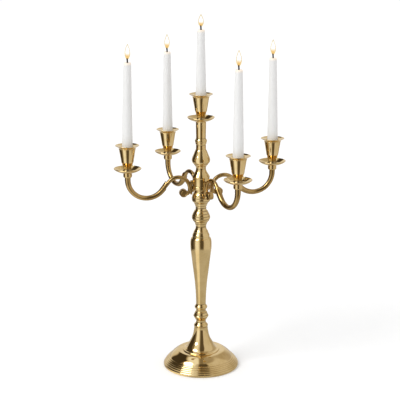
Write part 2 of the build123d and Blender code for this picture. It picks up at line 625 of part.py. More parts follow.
def wick(length):
    """Braided wick through the whole candle, its free end curling over a little."""
    curl = WICK_STAND * 0.9
    straight = length + WICK_STAND - 0.45 * curl
    bar = rod(WICK_RADIUS, 0, straight)
    bend = Pos(curl, 0, straight) * revolve(
        Pos(-curl, 0, 0) * Circle(WICK_RADIUS), Axis.Y, 28)
    return solid_of(bar + bend)


# ---------------------------------------------------------------- assembly
def stem_nodes():
    pad = rod(PAD_RADIUS, 0, PAD_THICKNESS)
    washer = rod(WASHER_RADIUS, WASHER_Z, CEILING_Z) - rod(BORE_RADIUS, WASHER_Z - 1, CEILING_Z + 1)
    nut = Pos(0, 0, BASE_NUT_Z) * hex_nut(BASE_NUT_FLATS, BASE_NUT_HEIGHT, TAPPED_RADIUS)
    return {
        "felt_pad": pad,
        "base": base(),
        "base_washer": washer,
        "base_nut": nut,
        "tie_rod": rod(ROD_RADIUS, BASE_NUT_Z - ROD_TAIL, CENTRE_SEAT_Z + PAN_WALL + CUP_THREAD_DEPTH - 1),
        "foot_ring": foot_ring(),
        "lower_knop": lower_knop(),
        "lower_bead": lower_bead(),
        "column": column(),
        "middle_knop": middle_knop(),
        "lower_vase": lower_vase(),
        "hub_collar": hub_collar(),
        "arm_hub": arm_hub(),
        "top_vase": top_vase(),
        "top_bead": top_bead(),
        "candle_tube": candle_tube(),
    }


def arm_nodes():
    nodes = {}
    master = arm()
    for number, azimuth in enumerate(ARM_AZIMUTHS, 1):
        nodes[f"arm_{number}"] = around(master, azimuth)
    nodes["arm_studs"] = Compound(children=[around(arm_stud(), azimuth) for azimuth in ARM_AZIMUTHS])
    nodes["arm_nuts"] = Compound(children=[around(arm_nut(), azimuth) for azimuth in ARM_AZIMUTHS])
    return nodes


def light_nodes():
    """Ferrules, studs, pans, cups, candles and wicks: 1 to 4 on the arms, and the middle light."""
    nodes = {}
    sleeve = ferrule()
    pan = drip_pan()
    cup = candle_cup()
    places = [(str(number), around(Pos(ARM_REACH, 0, 0), azimuth), ARM_SEAT_Z, CANDLE_LENGTH)
              for number, azimuth in enumerate(ARM_AZIMUTHS, 1)]
    places.append(("centre", Pos(0, 0, 0), CENTRE_SEAT_Z, CENTRE_CANDLE_LENGTH))
    studs = []
    for name, place, seat, length in places:
        floor = seat + PAN_WALL
        if name != "centre":
            nodes[f"ferrule_{name}"] = place * Pos(0, 0, ARM_END_Z) * sleeve
            foot = ARM_END_Z - ARM_THREAD_DEPTH + 1
            studs.append(place * rod(ROD_RADIUS, foot, floor + CUP_THREAD_DEPTH - 1))
        nodes[f"drip_pan_{name}"] = place * Pos(0, 0, seat) * pan
        nodes[f"candle_cup_{name}"] = place * Pos(0, 0, floor) * cup
        nodes[f"candle_{name}"] = place * Pos(0, 0, floor + SOCKET_FLOOR) * candle(length)
        nodes[f"wick_{name}"] = place * Pos(0, 0, floor + SOCKET_FLOOR) * wick(length)
    nodes["cup_studs"] = Compound(children=studs)
    return nodes


os.makedirs("parts", exist_ok=True)
for node, shape in {**stem_nodes(), **arm_nodes(), **light_nodes()}.items():
    write(node, shape)
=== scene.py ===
"""Looks of a turned brass candelabra with five lit candles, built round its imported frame."""

import logging
import math
from dataclasses import dataclass, field
from enum import Enum
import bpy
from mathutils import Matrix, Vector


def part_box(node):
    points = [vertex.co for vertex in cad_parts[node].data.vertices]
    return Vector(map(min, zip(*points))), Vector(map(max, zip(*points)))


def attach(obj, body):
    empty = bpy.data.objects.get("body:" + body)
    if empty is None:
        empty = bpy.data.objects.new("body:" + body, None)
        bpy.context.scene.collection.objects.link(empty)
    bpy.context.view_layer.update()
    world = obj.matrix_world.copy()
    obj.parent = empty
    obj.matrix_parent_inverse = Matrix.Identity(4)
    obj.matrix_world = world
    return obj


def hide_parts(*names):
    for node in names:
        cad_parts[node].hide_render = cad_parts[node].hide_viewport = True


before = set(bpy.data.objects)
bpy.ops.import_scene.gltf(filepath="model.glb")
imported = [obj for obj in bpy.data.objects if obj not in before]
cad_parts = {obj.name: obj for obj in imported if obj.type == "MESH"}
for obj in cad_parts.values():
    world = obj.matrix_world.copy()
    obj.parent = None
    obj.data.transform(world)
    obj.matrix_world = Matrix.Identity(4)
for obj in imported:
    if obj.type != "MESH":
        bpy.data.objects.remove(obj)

from types import MappingProxyType
from typing import Callable, Mapping, Sequence, Union

import bmesh
import bpy
import numpy as np
from mathutils import Matrix, Vector

LOG = logging.getLogger("candelabra")
MM = 0.001
FAR = 1.0  # metres past a piece's end, so that no dark joint is drawn there
Colour = tuple[float, float, float]
Flat = tuple[float, float]
Feeds = Mapping[Union[str, int], object]
Shape = tuple[Sequence, Sequence]  # corners and faces
Value = Union[float, bpy.types.NodeSocket]


class Seat(Enum):
    """Place of a light: the end of one of the arms, or the top of the stem."""

    RIGHT_BACK = "1"
    LEFT_BACK = "2"
    LEFT_FRONT = "3"
    RIGHT_FRONT = "4"
    MIDDLE = "centre"


ARM_AZIMUTHS = {Seat.RIGHT_BACK: 14.0, Seat.LEFT_BACK: 118.0, Seat.LEFT_FRONT: 194.0, Seat.RIGHT_FRONT: 298.0}
CANDLE_LEANS = {Seat.LEFT_FRONT: (3.0 * MM, 0.0), Seat.RIGHT_BACK: (-1.4 * MM, 0.0)}


class Work(Enum):
    """How a brass surface was worked last."""

    SPUN = "spun"
    GROOVED = "grooved"
    SATIN = "satin"
    CAST = "cast"


# ---------------------------------------------------------------- node trees
class NodePad:
    """A node tree under construction, with short ways to add and join nodes."""

    def __init__(self, tree: bpy.types.NodeTree) -> None:
        """Start on a tree.

        Args:
            tree: the shader, world or geometry tree to add to.
        """
        self.tree = tree

    def add(self, kind: str, feeds: Feeds = MappingProxyType({}), **settings: object) -> bpy.types.Node:
        """Add a node.

        Args:
            kind: the node's type name.
            feeds: a plain value or a socket for some of its inputs, by their names or numbers.
            settings: properties of the node to set.

        Returns:
            The new node.
        """
        node = self.tree.nodes.new(kind)
        for name, value in settings.items():
            setattr(node, name, value)
        for name, value in feeds.items():
            self.feed(node.inputs[name], value)
        return node

    def feed(self, socket: bpy.types.NodeSocket, value: object) -> None:
        """Set an input.

        Args:
            socket: the input.
            value: a plain value, or a socket to link it to.
        """
        if isinstance(value, bpy.types.NodeSocket):
            self.tree.links.new(value, socket)
        else:
            socket.default_value = value

    def maths(self, operation: str, *values: Value) -> bpy.types.NodeSocket:
        """Work out one number from others.

        Args:
            operation: the Math node's operation.
            values: numbers or sockets, in the node's order.

        Returns:
            The socket that carries the result.
        """
        return self.add("ShaderNodeMath", dict(enumerate(values)), operation=operation).outputs[0]

    def rise(self, value: Value, low: float, high: float) -> bpy.types.NodeSocket:
        """Smooth step of a value.

        Args:
            value: the number to look at.
            low: where the step is 0.
            high: where the step is 1; it may lie below low.

        Returns:
            A socket from 0 to 1.
        """
        ends = (low, high, 0.0, 1.0) if low < high else (high, low, 1.0, 0.0)
        feeds = dict(zip(("From Min", "From Max", "To Min", "To Max"), ends))
        node = self.add("ShaderNodeMapRange", {"Value": value, **feeds}, interpolation_type="SMOOTHSTEP")
        return node.outputs["Result"]

    def towards(self, share: Value, first: Value, second: Value) -> bpy.types.NodeSocket:
        """Number between two others, at this share of the way from the first."""
        return self.maths("MULTIPLY_ADD", self.maths("SUBTRACT", second, first), share, first)

    def compass(self, x: Value, y: Value) -> bpy.types.NodeSocket:
        """Degrees round the Z axis to this direction, from the front and positive to the right."""
        return self.maths("MULTIPLY", self.maths("ARCTAN2", x, self.maths("MULTIPLY", y, -1.0)), 180 / math.pi)

    def between(self, share: Value, first: object, second: object) -> bpy.types.NodeSocket:
        """Mix two colours.

        Args:
            share: 0 gives the first and 1 the second.
            first: a colour or a socket.
            second: a colour or a socket.

        Returns:
            The socket of the mixed colour.
        """
        ends = [end if isinstance(end, bpy.types.NodeSocket) else (*end, 1.0) for end in (first, second)]
        return self.add("ShaderNodeMix", {0: share, 6: ends[0], 7: ends[1]}, data_type="RGBA").outputs[2]

    def noise(self, place: bpy.types.NodeSocket, scale: float, detail: float = 2.0) -> bpy.types.NodeSocket:
        """Cloudy noise.

        Args:
            place: the coordinates to read.
            scale: how many clouds there are to a metre.
            detail: how many finer layers are added.

        Returns:
            A socket from 0 to 1.
        """
        return self.add("ShaderNodeTexNoise", {"Vector": place, "Scale": scale, "Detail": detail}).outputs[0]


class MaterialPad(NodePad):
    """A material under construction, which reads object coordinates."""

    def __init__(self, name: str, centre: Vector = Vector()) -> None:
        """Make an empty material.

        Args:
            name: the material's name.
            centre: the point that its patterns are laid out round.
        """
        self.material = bpy.data.materials.new(name)
        self.material.use_nodes = True
        super().__init__(self.material.node_tree)
        self.tree.nodes.clear()
        self.output = self.add("ShaderNodeOutputMaterial")
        given = self.add("ShaderNodeTexCoord").outputs["Object"]
        self.place = self.add("ShaderNodeMapping", {"Location": -centre, "Vector": given}).outputs["Vector"]
        self.x, self.y, self.z = self.add("ShaderNodeSeparateXYZ", {0: self.place}).outputs

    def close(self, shader: bpy.types.Node) -> bpy.types.Material:
        """Send a shader to the surface and give back the finished material."""
        self.feed(self.output.inputs["Surface"], shader.outputs[0])
        return self.material

    def surface(self, **sockets: object) -> bpy.types.Material:
        """Close the material with a Principled shader.

        Args:
            sockets: its inputs, with underscores for the spaces in their names.

        Returns:
            The finished material.
        """
        shader = self.add("ShaderNodeBsdfPrincipled")
        for name, value in sockets.items():
            socket = shader.inputs[name.replace("_", " ")]
            plain_colour = isinstance(value, tuple) and len(value) == 3 and socket.type == "RGBA"
            self.feed(socket, (*value, 1.0) if plain_colour else value)
        return self.close(shader)

    def relief(self, height: Value, depth: float) -> bpy.types.NodeSocket:
        """Bump.

        Args:
            height: the surface's height, from 0 to 1.
            depth: what a height of 1 is in metres.

        Returns:
            The socket of the bumped normal.
        """
        return self.add("ShaderNodeBump", {"Distance": depth, "Height": height}).outputs["Normal"]


# ---------------------------------------------------------------- finishes
@dataclass(frozen=True)
class BrassFinish:
    """Polished yellow brass: turning lines or cast skin, handling marks, dark joints, darker grooves, and painted shade
    where the dark band at a foot is made wide.
    """

    bright: Colour = (0.84, 0.645, 0.325)
    deep: Colour = (0.71, 0.52, 0.225)
    # Colour of the dark joints, and of the painted shade where the band is wide.
    joint_and_shade_colour: Colour = (0.10, 0.055, 0.015)
    roughness: float = 0.045
    wear: float = 0.05
    line_depth: float = 0.0025 * MM
    groove_pitch: float = 5.6 * MM
    groove_depth: float = 0.35 * MM
    satin_roughness: float = 0.13
    # Width of the dark band at a piece's ends: narrow for a real joint, wide for painted shade.
    joint_and_shade_width: float = 0.9 * MM
    cloud_scale: float = 38.0
    cloud_edge: Flat = (0.35, 0.75)
    smudge_scale: float = 170.0
    line_scale: float = 900.0
    grain_scale: float = 520.0
    swell_scale: float = 90.0
    groove_edge: Flat = (0.72, 0.98)
    # How much darker the grooves are drawn.
    groove_darkening: float = 0.8
    joint_and_shade_dark: float = 0.75
    joint_rough: float = 0.25

    def material(self, name: str, work: Work, centre: Vector, low: float, high: float) -> bpy.types.Material:
        """Make the finish for one turned or cast piece.

        Args:
            name: the material's name.
            work: how the surface was worked.
            centre: a point on the piece's own axis, at z = 0.
            low: height of the piece's foot, where it meets the next one.
            high: height of its top.

        Returns:
            The material.
        """
        pad = MaterialPad(name, centre)
        clouds = pad.noise(pad.place, self.cloud_scale, 3.0)
        smudges = pad.noise(pad.place, self.smudge_scale, 4.0)
        edge = pad.maths("MINIMUM", pad.maths("SUBTRACT", pad.z, low), pad.maths("SUBTRACT", high, pad.z))
        # Darker band at the piece's ends: a dark joint where it is narrow, painted shade where it is wide, as on the
        # candle cups.
        joints_grooves_and_shade = pad.rise(edge, self.joint_and_shade_width, 0.0)
        tone = pad.between(pad.rise(clouds, *self.cloud_edge), self.bright, self.deep)
        if work is Work.GROOVED:
            # The grooves are drawn darker in colour.
            joints_grooves_and_shade = pad.maths("MAXIMUM", joints_grooves_and_shade, pad.maths("MULTIPLY", self.groove(pad), self.groove_darkening))
        colour = pad.between(pad.maths("MULTIPLY", joints_grooves_and_shade, self.joint_and_shade_dark), tone, self.joint_and_shade_colour)
        roughness = self.satin_roughness if work is Work.SATIN else self.roughness
        rough = pad.maths("MULTIPLY_ADD", smudges, self.wear, roughness - 0.4 * self.wear)
        rough = pad.maths("MULTIPLY_ADD", joints_grooves_and_shade, self.joint_rough, rough)
        height = self.skin(pad, work)
        return pad.surface(
            Base_Color=colour,
            Metallic=1.0,
            Roughness=pad.maths("MAXIMUM", rough, 0.03),
            Normal=pad.relief(height, self.line_depth if work is not Work.GROOVED else self.groove_depth),
        )

    def skin(self, pad: MaterialPad, work: Work) -> bpy.types.NodeSocket:
        """Height pattern of the surface.

        Args:
            pad: the material being made.
            work: how the surface was worked.

        Returns:
            A socket from 0 to about 1.
        """
        if work is Work.CAST:
            return pad.maths("ADD", pad.noise(pad.place, self.grain_scale), pad.noise(pad.place, self.swell_scale))
        reach = pad.maths("SQRT", pad.maths("ADD", pad.maths("MULTIPLY", pad.x, pad.x),
                                            pad.maths("MULTIPLY", pad.y, pad.y)))
        along = pad.maths("MULTIPLY_ADD", reach, 0.8, pad.z)
        fine = {"W": pad.maths("MULTIPLY", along, self.line_scale), "Detail": 3.0}
        lines = pad.add("ShaderNodeTexNoise", fine, noise_dimensions="1D")
        if work is not Work.GROOVED:
            return lines.outputs[0]
        return pad.maths("MULTIPLY_ADD", lines.outputs[0], 0.01, pad.maths("SUBTRACT", 1.0, self.groove(pad)))

    def groove(self, pad: MaterialPad) -> bpy.types.NodeSocket:
        """Fine turned grooves, one below the other: 1 in a groove and 0 between two."""
        wave = pad.maths("SINE", pad.maths("MULTIPLY", pad.z, math.tau / self.groove_pitch))
        return pad.rise(wave, *self.groove_edge)


@dataclass(frozen=True)
class WaxFinish:
    """White candle wax: translucent, with painted flame light just under the flame: a warmer colour and a painted glow.
    """

    body: Colour = (0.79, 0.788, 0.778)
    # The colour of painted flame light on the wax near its top.
    warm: Colour = (0.97, 0.83, 0.68)
    # Painted glow of the flame's light in the wax; the wax is no lamp.
    painted_flame_glow: Colour = (1.0, 0.72, 0.42)
    painted_glow_strength: float = 0.10
    flame_lit_length: float = 7.0 * MM
    flame_lit_share: float = 0.8
    film_scale: float = 60.0
    film_edge: Flat = (0.3, 0.8)
    film_shade: float = 0.985
    depth: float = 4.0 * MM
    grain_scale: float = 420.0
    grain_depth: float = 0.03 * MM

    def material(self, name: str, top: float) -> bpy.types.Material:
        """Make the wax of one candle.

        Args:
            name: the material's name.
            top: height of the candle's top.

        Returns:
            The material.
        """
        pad = MaterialPad(name)
        # Painted flame light: a warmer colour and a glow over the top of the wax.
        flame_lit_mask = pad.rise(pad.z, top - self.flame_lit_length, top)
        film = pad.noise(pad.place, self.film_scale, 3.0)
        shade = tuple(self.film_shade * part for part in self.body)
        body = pad.between(pad.rise(film, *self.film_edge), self.body, shade)
        return pad.surface(
            Base_Color=pad.between(pad.maths("MULTIPLY", flame_lit_mask, self.flame_lit_share), body, self.warm),
            Roughness=pad.maths("MULTIPLY_ADD", film, 0.2, 0.33),
            Subsurface_Weight=0.15,
            Subsurface_Radius=(self.depth, self.depth, self.depth),
            Subsurface_Scale=1.0,
            Emission_Color=(*self.painted_flame_glow, 1.0),
            Emission_Strength=pad.maths("MULTIPLY", flame_lit_mask, self.painted_glow_strength),
            Normal=pad.relief(pad.noise(pad.place, self.grain_scale), self.grain_depth),
        )


@dataclass(frozen=True)
class WickFinish:
    """Cotton braid that is charred where it stands out of the wax, with a dull ember at its end."""

    cotton: Colour = (0.62, 0.56, 0.45)
    char: Colour = (0.022, 0.015, 0.012)
    ember: Colour = (1.0, 0.25, 0.04)
    ember_length: float = 1.2 * MM
    ember_strength: float = 0.8
    burnt_edge: Flat = (-2.5 * MM, 1.0 * MM)
    fibre_scale: float = 1500.0
    fibre_depth: float = 0.15 * MM

    def material(self, name: str, wax_top: float, tip: float) -> bpy.types.Material:
        """Make one wick's finish.

        Args:
            name: the material's name.
            wax_top: height of the wax round it.
            tip: height of the wick's end.

        Returns:
            The material.
        """
        pad = MaterialPad(name)
        fibres = pad.noise(pad.place, self.fibre_scale)
        burnt = pad.rise(pad.z, wax_top + self.burnt_edge[0], wax_top + self.burnt_edge[1])
        cotton = pad.between(fibres, self.cotton, tuple(0.7 * part for part in self.cotton))
        return pad.surface(
            Base_Color=pad.between(burnt, cotton, self.char),
            Roughness=pad.maths("MULTIPLY_ADD", fibres, 0.2, 0.7),
            Emission_Color=(*self.ember, 1.0),
            Emission_Strength=pad.maths("MULTIPLY", pad.rise(pad.z, tip - self.ember_length, tip), self.ember_strength),
            Normal=pad.relief(fibres, self.fibre_depth),
        )


@dataclass(frozen=True)
class FlameFinish:
    """Candle flame: a clear amber skin round a white-hot body that is amber near the wick."""

    skin_low: Colour = (0.91, 0.79, 0.52)
    skin_high: Colour = (0.89, 0.81, 0.64)
    body_low: Colour = (1.0, 0.72, 0.34)
    body_high: Colour = (1.35, 1.5, 1.9)
    skin_rise: float = 0.5
    body_rise: Flat = (0.16, 0.58)
    flicker: float = 0.12
    flicker_scale: float = 260.0

    def skin(self, name: str, low: float, high: float) -> bpy.types.Material:
        """Make the outer skin.

        Args:
            name: the material's name.
            low: height of the flame's foot.
            high: height of its tip.

        Returns:
            The material.
        """
        pad = MaterialPad(name)
        rise = pad.rise(pad.z, low, low + self.skin_rise * (high - low))
        tint = pad.between(rise, self.skin_low, self.skin_high)
        return pad.close(pad.add("ShaderNodeBsdfTransparent", {"Color": tint}))

    def body(self, name: str, low: float, high: float) -> bpy.types.Material:
        """Make the bright body inside the skin.

        Args:
            name: the material's name.
            low: height of the body's foot.
            high: height of its tip.

        Returns:
            The material.
        """
        pad = MaterialPad(name)
        length = high - low
        flicker = pad.maths("MULTIPLY", pad.noise(pad.place, self.flicker_scale, 1.0), self.flicker * length)
        ends = [low + share * length for share in self.body_rise]
        rise = pad.rise(pad.maths("ADD", pad.z, flicker), *ends)
        return pad.close(pad.add("ShaderNodeEmission", {"Color": pad.between(rise, self.body_low, self.body_high)}))


@dataclass(frozen=True)
class SteelFinish:
    """Plain zinc-plated steel of the rod, nuts and studs."""

    colour: Colour = (0.56, 0.57, 0.58)
    dull: Colour = (0.336, 0.342, 0.348)
    spangle_scale: float = 420.0
    spangle_depth: float = 0.03 * MM

    def material(self, name: str) -> bpy.types.Material:
        """Make the finish.

        Args:
            name: the material's name.

        Returns:
            The material.
        """
        pad = MaterialPad(name)
        spangle = pad.noise(pad.place, self.spangle_scale, 3.0)
        return pad.surface(
            Base_Color=pad.between(spangle, self.colour, self.dull),
            Metallic=1.0,
            Roughness=pad.maths("MULTIPLY_ADD", spangle, 0.3, 0.2),
            Normal=pad.relief(spangle, self.spangle_depth),
        )


@dataclass(frozen=True)
class FeltFinish:
    """Dark green pressed felt of the pad under the base."""

    light: Colour = (0.035, 0.085, 0.05)
    dark: Colour = (0.012, 0.035, 0.02)
    nap_scale: float = 1400.0
    nap_depth: float = 0.3 * MM

    def material(self, name: str) -> bpy.types.Material:
        """Make the finish.

        Args:
            name: the material's name.

        Returns:
            The material.
        """
        pad = MaterialPad(name)
        nap = pad.noise(pad.place, self.nap_scale, 4.0)
        return pad.surface(
            Base_Color=pad.between(nap, self.dark, self.light),
            Roughness=pad.maths("MULTIPLY_ADD", nap, 0.1, 0.88),
            Sheen_Weight=0.5,
            Normal=pad.relief(nap, self.nap_depth),
        )


# ---------------------------------------------------------------- mesh helpers
def new_piece(name: str, points: Sequence, faces: Sequence) -> bpy.types.Object:
    """Put a mesh in the scene.

    Args:
        name: the object's name.
        points: its corners.
        faces: its faces, as rows of corner numbers.

    Returns:
        The new object, at the origin.
    """
    mesh = bpy.data.meshes.new(name)
    mesh.from_pydata([tuple(point) for point in points], [], faces)
    mesh.validate()
    piece = bpy.data.objects.new(name, mesh)
    bpy.context.scene.collection.objects.link(piece)
    return piece


def rings(profile: Sequence[Flat], steps: int) -> np.ndarray:
    """Corners of a profile that is turned round the Z axis.

    Args:
        profile: radius and height of each ring.
        steps: how many corners go round.

    Returns:
        The corners, ring after ring.
    """
    turn = np.linspace(0, math.tau, steps, endpoint=False)
    return np.concatenate([np.stack([radius * np.cos(turn), radius * np.sin(turn), np.full(steps, z)], 1)
                           for radius, z in profile])


def bands(rows: int, steps: int, closed: bool = False) -> list[tuple]:
    """Four-sided faces between rings of corners.

    Args:
        rows: how many rings there are.
        steps: how many corners each has.
        closed: whether the last ring joins the first.

    Returns:
        The faces.
    """
    faces = []
    for row in range(rows if closed else rows - 1):
        below, above = row * steps, (row + 1) % rows * steps
        for k in range(steps):
            after = (k + 1) % steps
            faces.append((below + k, below + after, above + after, above + k))
    return faces


def turned(profile: Sequence[Flat], steps: int, warp: Callable[[np.ndarray], np.ndarray] = lambda at: at) -> Shape:
    """Corners and faces of a closed turned shape on the Z axis.

    Args:
        profile: radius and height, up the outside from the axis to the axis.
        steps: how many corners go round.
        warp: moves all the corners, to make the shape less perfect.

    Returns:
        The corners and the faces.
    """
    rows = len(profile) - 2
    points = np.concatenate([rings(profile[1:-1], steps), [[0, 0, profile[0][1]], [0, 0, profile[-1][1]]]])
    foot, top, last = len(points) - 2, len(points) - 1, (rows - 1) * steps
    faces = bands(rows, steps)
    for k in range(steps):
        faces.append((foot, (k + 1) % steps, k))
        faces.append((top, last + k, last + (k + 1) % steps))
    return warp(points), faces


def disc(name: str, radius: float, z: float) -> bpy.types.Object:
    """Flat round sheet that faces up, at this height."""
    return new_piece(name, rings([(radius, z)], 96), [tuple(range(96))])


def merged(name: str, shapes: Sequence[Shape]) -> bpy.types.Object:
    """One object made of several closed shapes.

    Args:
        name: the object's name.
        shapes: corners and faces of each.

    Returns:
        The new object.
    """
    points, faces, start = [], [], 0
    for corners, rows in shapes:
        points.extend(corners)
        faces.extend([tuple(start + k for k in row) for row in rows])
        start += len(corners)
    return new_piece(name, points, faces)


def soften(piece: bpy.types.Object, angle: float = 35.0) -> None:
    """Shade a piece smooth, but for edges sharper than this angle in degrees."""
    piece.data.shade_smooth()
    piece.data.set_sharp_from_angle(angle=math.radians(angle))


def smooth_line(line: Sequence[Flat], steps: int = 4) -> list[Flat]:
    """Smooth curve through a row of points.

    Args:
        line: radius and height of each point.
        steps: how many points come from each one given.

    Returns:
        The curve's points.
    """
    points = [line[0], *line, line[-1]]
    curve: list[Flat] = []
    for k in range(1, len(points) - 2):
        before, first, second, after = (np.array(points[k + j]) for j in (-1, 0, 1, 2))
        for j in range(steps):
            t = j / steps
            place = 0.5 * (2 * first + (second - before) * t + (2 * before - 5 * first + 4 * second - after) * t ** 2
                           + (3 * first - before - 3 * second + after) * t ** 3)
            curve.append((float(place[0]), float(place[1])))
    return [*curve, line[-1]]


def in_mm(*points: Flat) -> tuple[Flat, ...]:
    """Points that are given in millimetres, in metres."""
    return tuple((first * MM, second * MM) for first, second in points)


def on_circle(centre: Flat, radius: float, degrees: float) -> Flat:
    """Point on a circle at this angle from the first axis."""
    turn = math.radians(degrees)
    return (centre[0] + radius * math.cos(turn), centre[1] + radius * math.sin(turn))


class RodTree:
    """Geometry tree that sweeps a lightly faceted round section along a line of points.

    The line's points carry their own half thickness in an attribute.
    """

    THICKNESS = "half_thickness"

    def __init__(self) -> None:
        """Build the tree once, for all the rods."""
        tree = bpy.data.node_groups.new("faceted_rod", "GeometryNodeTree")
        pad = NodePad(tree)
        self.tree = tree
        self.inputs = {}
        for name, kind in (("Line", "Geometry"), ("Sides", "Int"), ("Facets", "Float"),
                           ("Facet Depth", "Float"), ("Finish", "Material")):
            socket = tree.interface.new_socket(name, in_out="INPUT", socket_type="NodeSocket" + kind)
            self.inputs[name] = socket.identifier
        tree.interface.new_socket("Rod", in_out="OUTPUT", socket_type="NodeSocketGeometry")
        given = pad.add("NodeGroupInput").outputs
        ring = pad.add("GeometryNodeCurvePrimitiveCircle", {"Resolution": given["Sides"], "Radius": 1.0})
        place = pad.add("GeometryNodeInputPosition").outputs[0]
        x, y, _ = pad.add("ShaderNodeSeparateXYZ", {0: place}).outputs
        wave = pad.maths("COSINE", pad.maths("MULTIPLY", pad.maths("ARCTAN2", y, x), given["Facets"]))
        reach = pad.maths("MULTIPLY_ADD", wave, given["Facet Depth"], 1.0)
        shaped = pad.add("ShaderNodeVectorMath", {0: place, "Scale": reach}, operation="SCALE").outputs[0]
        section = pad.add("GeometryNodeSetPosition", {"Geometry": ring.outputs["Curve"], "Position": shaped})
        half = pad.add("GeometryNodeInputNamedAttribute", {"Name": self.THICKNESS}, data_type="FLOAT")
        sweep = pad.add("GeometryNodeCurveToMesh", {
            "Curve": pad.add("GeometryNodeMeshToCurve", {"Mesh": given["Line"]}).outputs["Curve"],
            "Profile Curve": section.outputs["Geometry"],
            "Scale": half.outputs["Attribute"],
            "Fill Caps": True,
        })
        smooth = pad.add("GeometryNodeSetShadeSmooth", {"Geometry": sweep.outputs["Mesh"]})
        real = pad.add("GeometryNodeRealizeInstances", {"Geometry": smooth.outputs["Geometry"]})
        finish = {"Geometry": real.outputs["Geometry"], "Material": given["Finish"]}
        pad.add("NodeGroupOutput", {0: pad.add("GeometryNodeSetMaterial", finish).outputs["Geometry"]})

    def sweep(self, line: Sequence[tuple], finish: bpy.types.Material, sides: int = 32,
              facets: int = 8, depth: float = 0.0) -> Shape:
        """Sweep one rod.

        Args:
            line: x, y, z and half thickness at each point of its centre line.
            finish: the material that the tree sets.
            sides: corners round the section.
            facets: how many soft facets the section has.
            depth: how deep the facets are, as a part of the half thickness.

        Returns:
            The rod's corners and faces, its faces outwards.
        """
        mesh = bpy.data.meshes.new("rod_line")
        mesh.from_pydata([point[:3] for point in line], [(k, k + 1) for k in range(len(line) - 1)], [])
        mesh.attributes.new(self.THICKNESS, "FLOAT", "POINT").data.foreach_set("value", [p[3] for p in line])
        draft = bpy.data.objects.new("rod_draft", mesh)
        bpy.context.scene.collection.objects.link(draft)
        modifier = draft.modifiers.new("rod", "NODES")
        modifier.node_group = self.tree
        for name, value in (("Sides", sides), ("Facets", float(facets)), ("Facet Depth", depth), ("Finish", finish)):
            modifier[self.inputs[name]] = value
        swept = bpy.data.meshes.new_from_object(draft.evaluated_get(bpy.context.evaluated_depsgraph_get()))
        shape = bmesh.new()
        shape.from_mesh(swept)
        bmesh.ops.remove_doubles(shape, verts=shape.verts, dist=1e-7)
        bmesh.ops.recalc_face_normals(shape, faces=shape.faces)
        shape.verts.index_update()
        points = [tuple(vert.co) for vert in shape.verts]
        faces = [tuple(vert.index for vert in face.verts) for face in shape.faces]
        shape.free()
        bpy.data.objects.remove(draft)
        bpy.data.meshes.remove(mesh)
        bpy.data.meshes.remove(swept)
        return points, faces


# ---------------------------------------------------------------- sub-assemblies
@dataclass
class Stem:
    """The turned stem, its rod and the felt pad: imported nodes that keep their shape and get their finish."""

    finish: BrassFinish = field(default_factory=BrassFinish)
    steel: SteelFinish = field(default_factory=SteelFinish)
    felt: FeltFinish = field(default_factory=FeltFinish)
    spun: tuple[str, ...] = ("foot_ring", "lower_bead", "hub_collar", "arm_hub", "top_vase", "top_bead", "candle_tube")
    satin: tuple[str, ...] = ("column",)
    grooved: tuple[str, ...] = ("lower_knop", "middle_knop", "lower_vase")
    fittings: tuple[str, ...] = ("tie_rod", "base_nut", "base_washer", "arm_studs", "arm_nuts", "cup_studs")

    def dress(self) -> None:
        """Give every node of the stem its material."""
        for names, work in ((self.spun, Work.SPUN), (self.grooved, Work.GROOVED), (self.satin, Work.SATIN)):
            for name in names:
                low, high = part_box(name)
                dress_node(name, self.finish.material("brass_" + name, work, Vector(), low[2], high[2]))
        steel = self.steel.material("steel_plated")
        for name in self.fittings:
            dress_node(name, steel)
        dress_node("felt_pad", self.felt.material("felt_green"))


def dress_node(name: str, material: bpy.types.Material) -> None:
    """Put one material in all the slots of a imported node.

    Args:
        name: the node's name.
        material: its finish.
    """
    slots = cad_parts[name].data.materials
    for k in range(len(slots)):
        slots[k] = material


def finish_piece(piece: bpy.types.Object, material: bpy.types.Material, body: str,
                 stands_for: str = "") -> None:
    """Dress a new piece and tie it to the frame.

    Args:
        piece: the object.
        material: its finish.
        body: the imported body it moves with.
        stands_for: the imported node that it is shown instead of.
    """
    piece.data.materials.clear()
    piece.data.materials.append(material)
    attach(piece, body)
    if stands_for:
        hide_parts(stands_for)
    LOG.info("%s: %d faces, moves with %s", piece.name, len(piece.data.polygons), body)


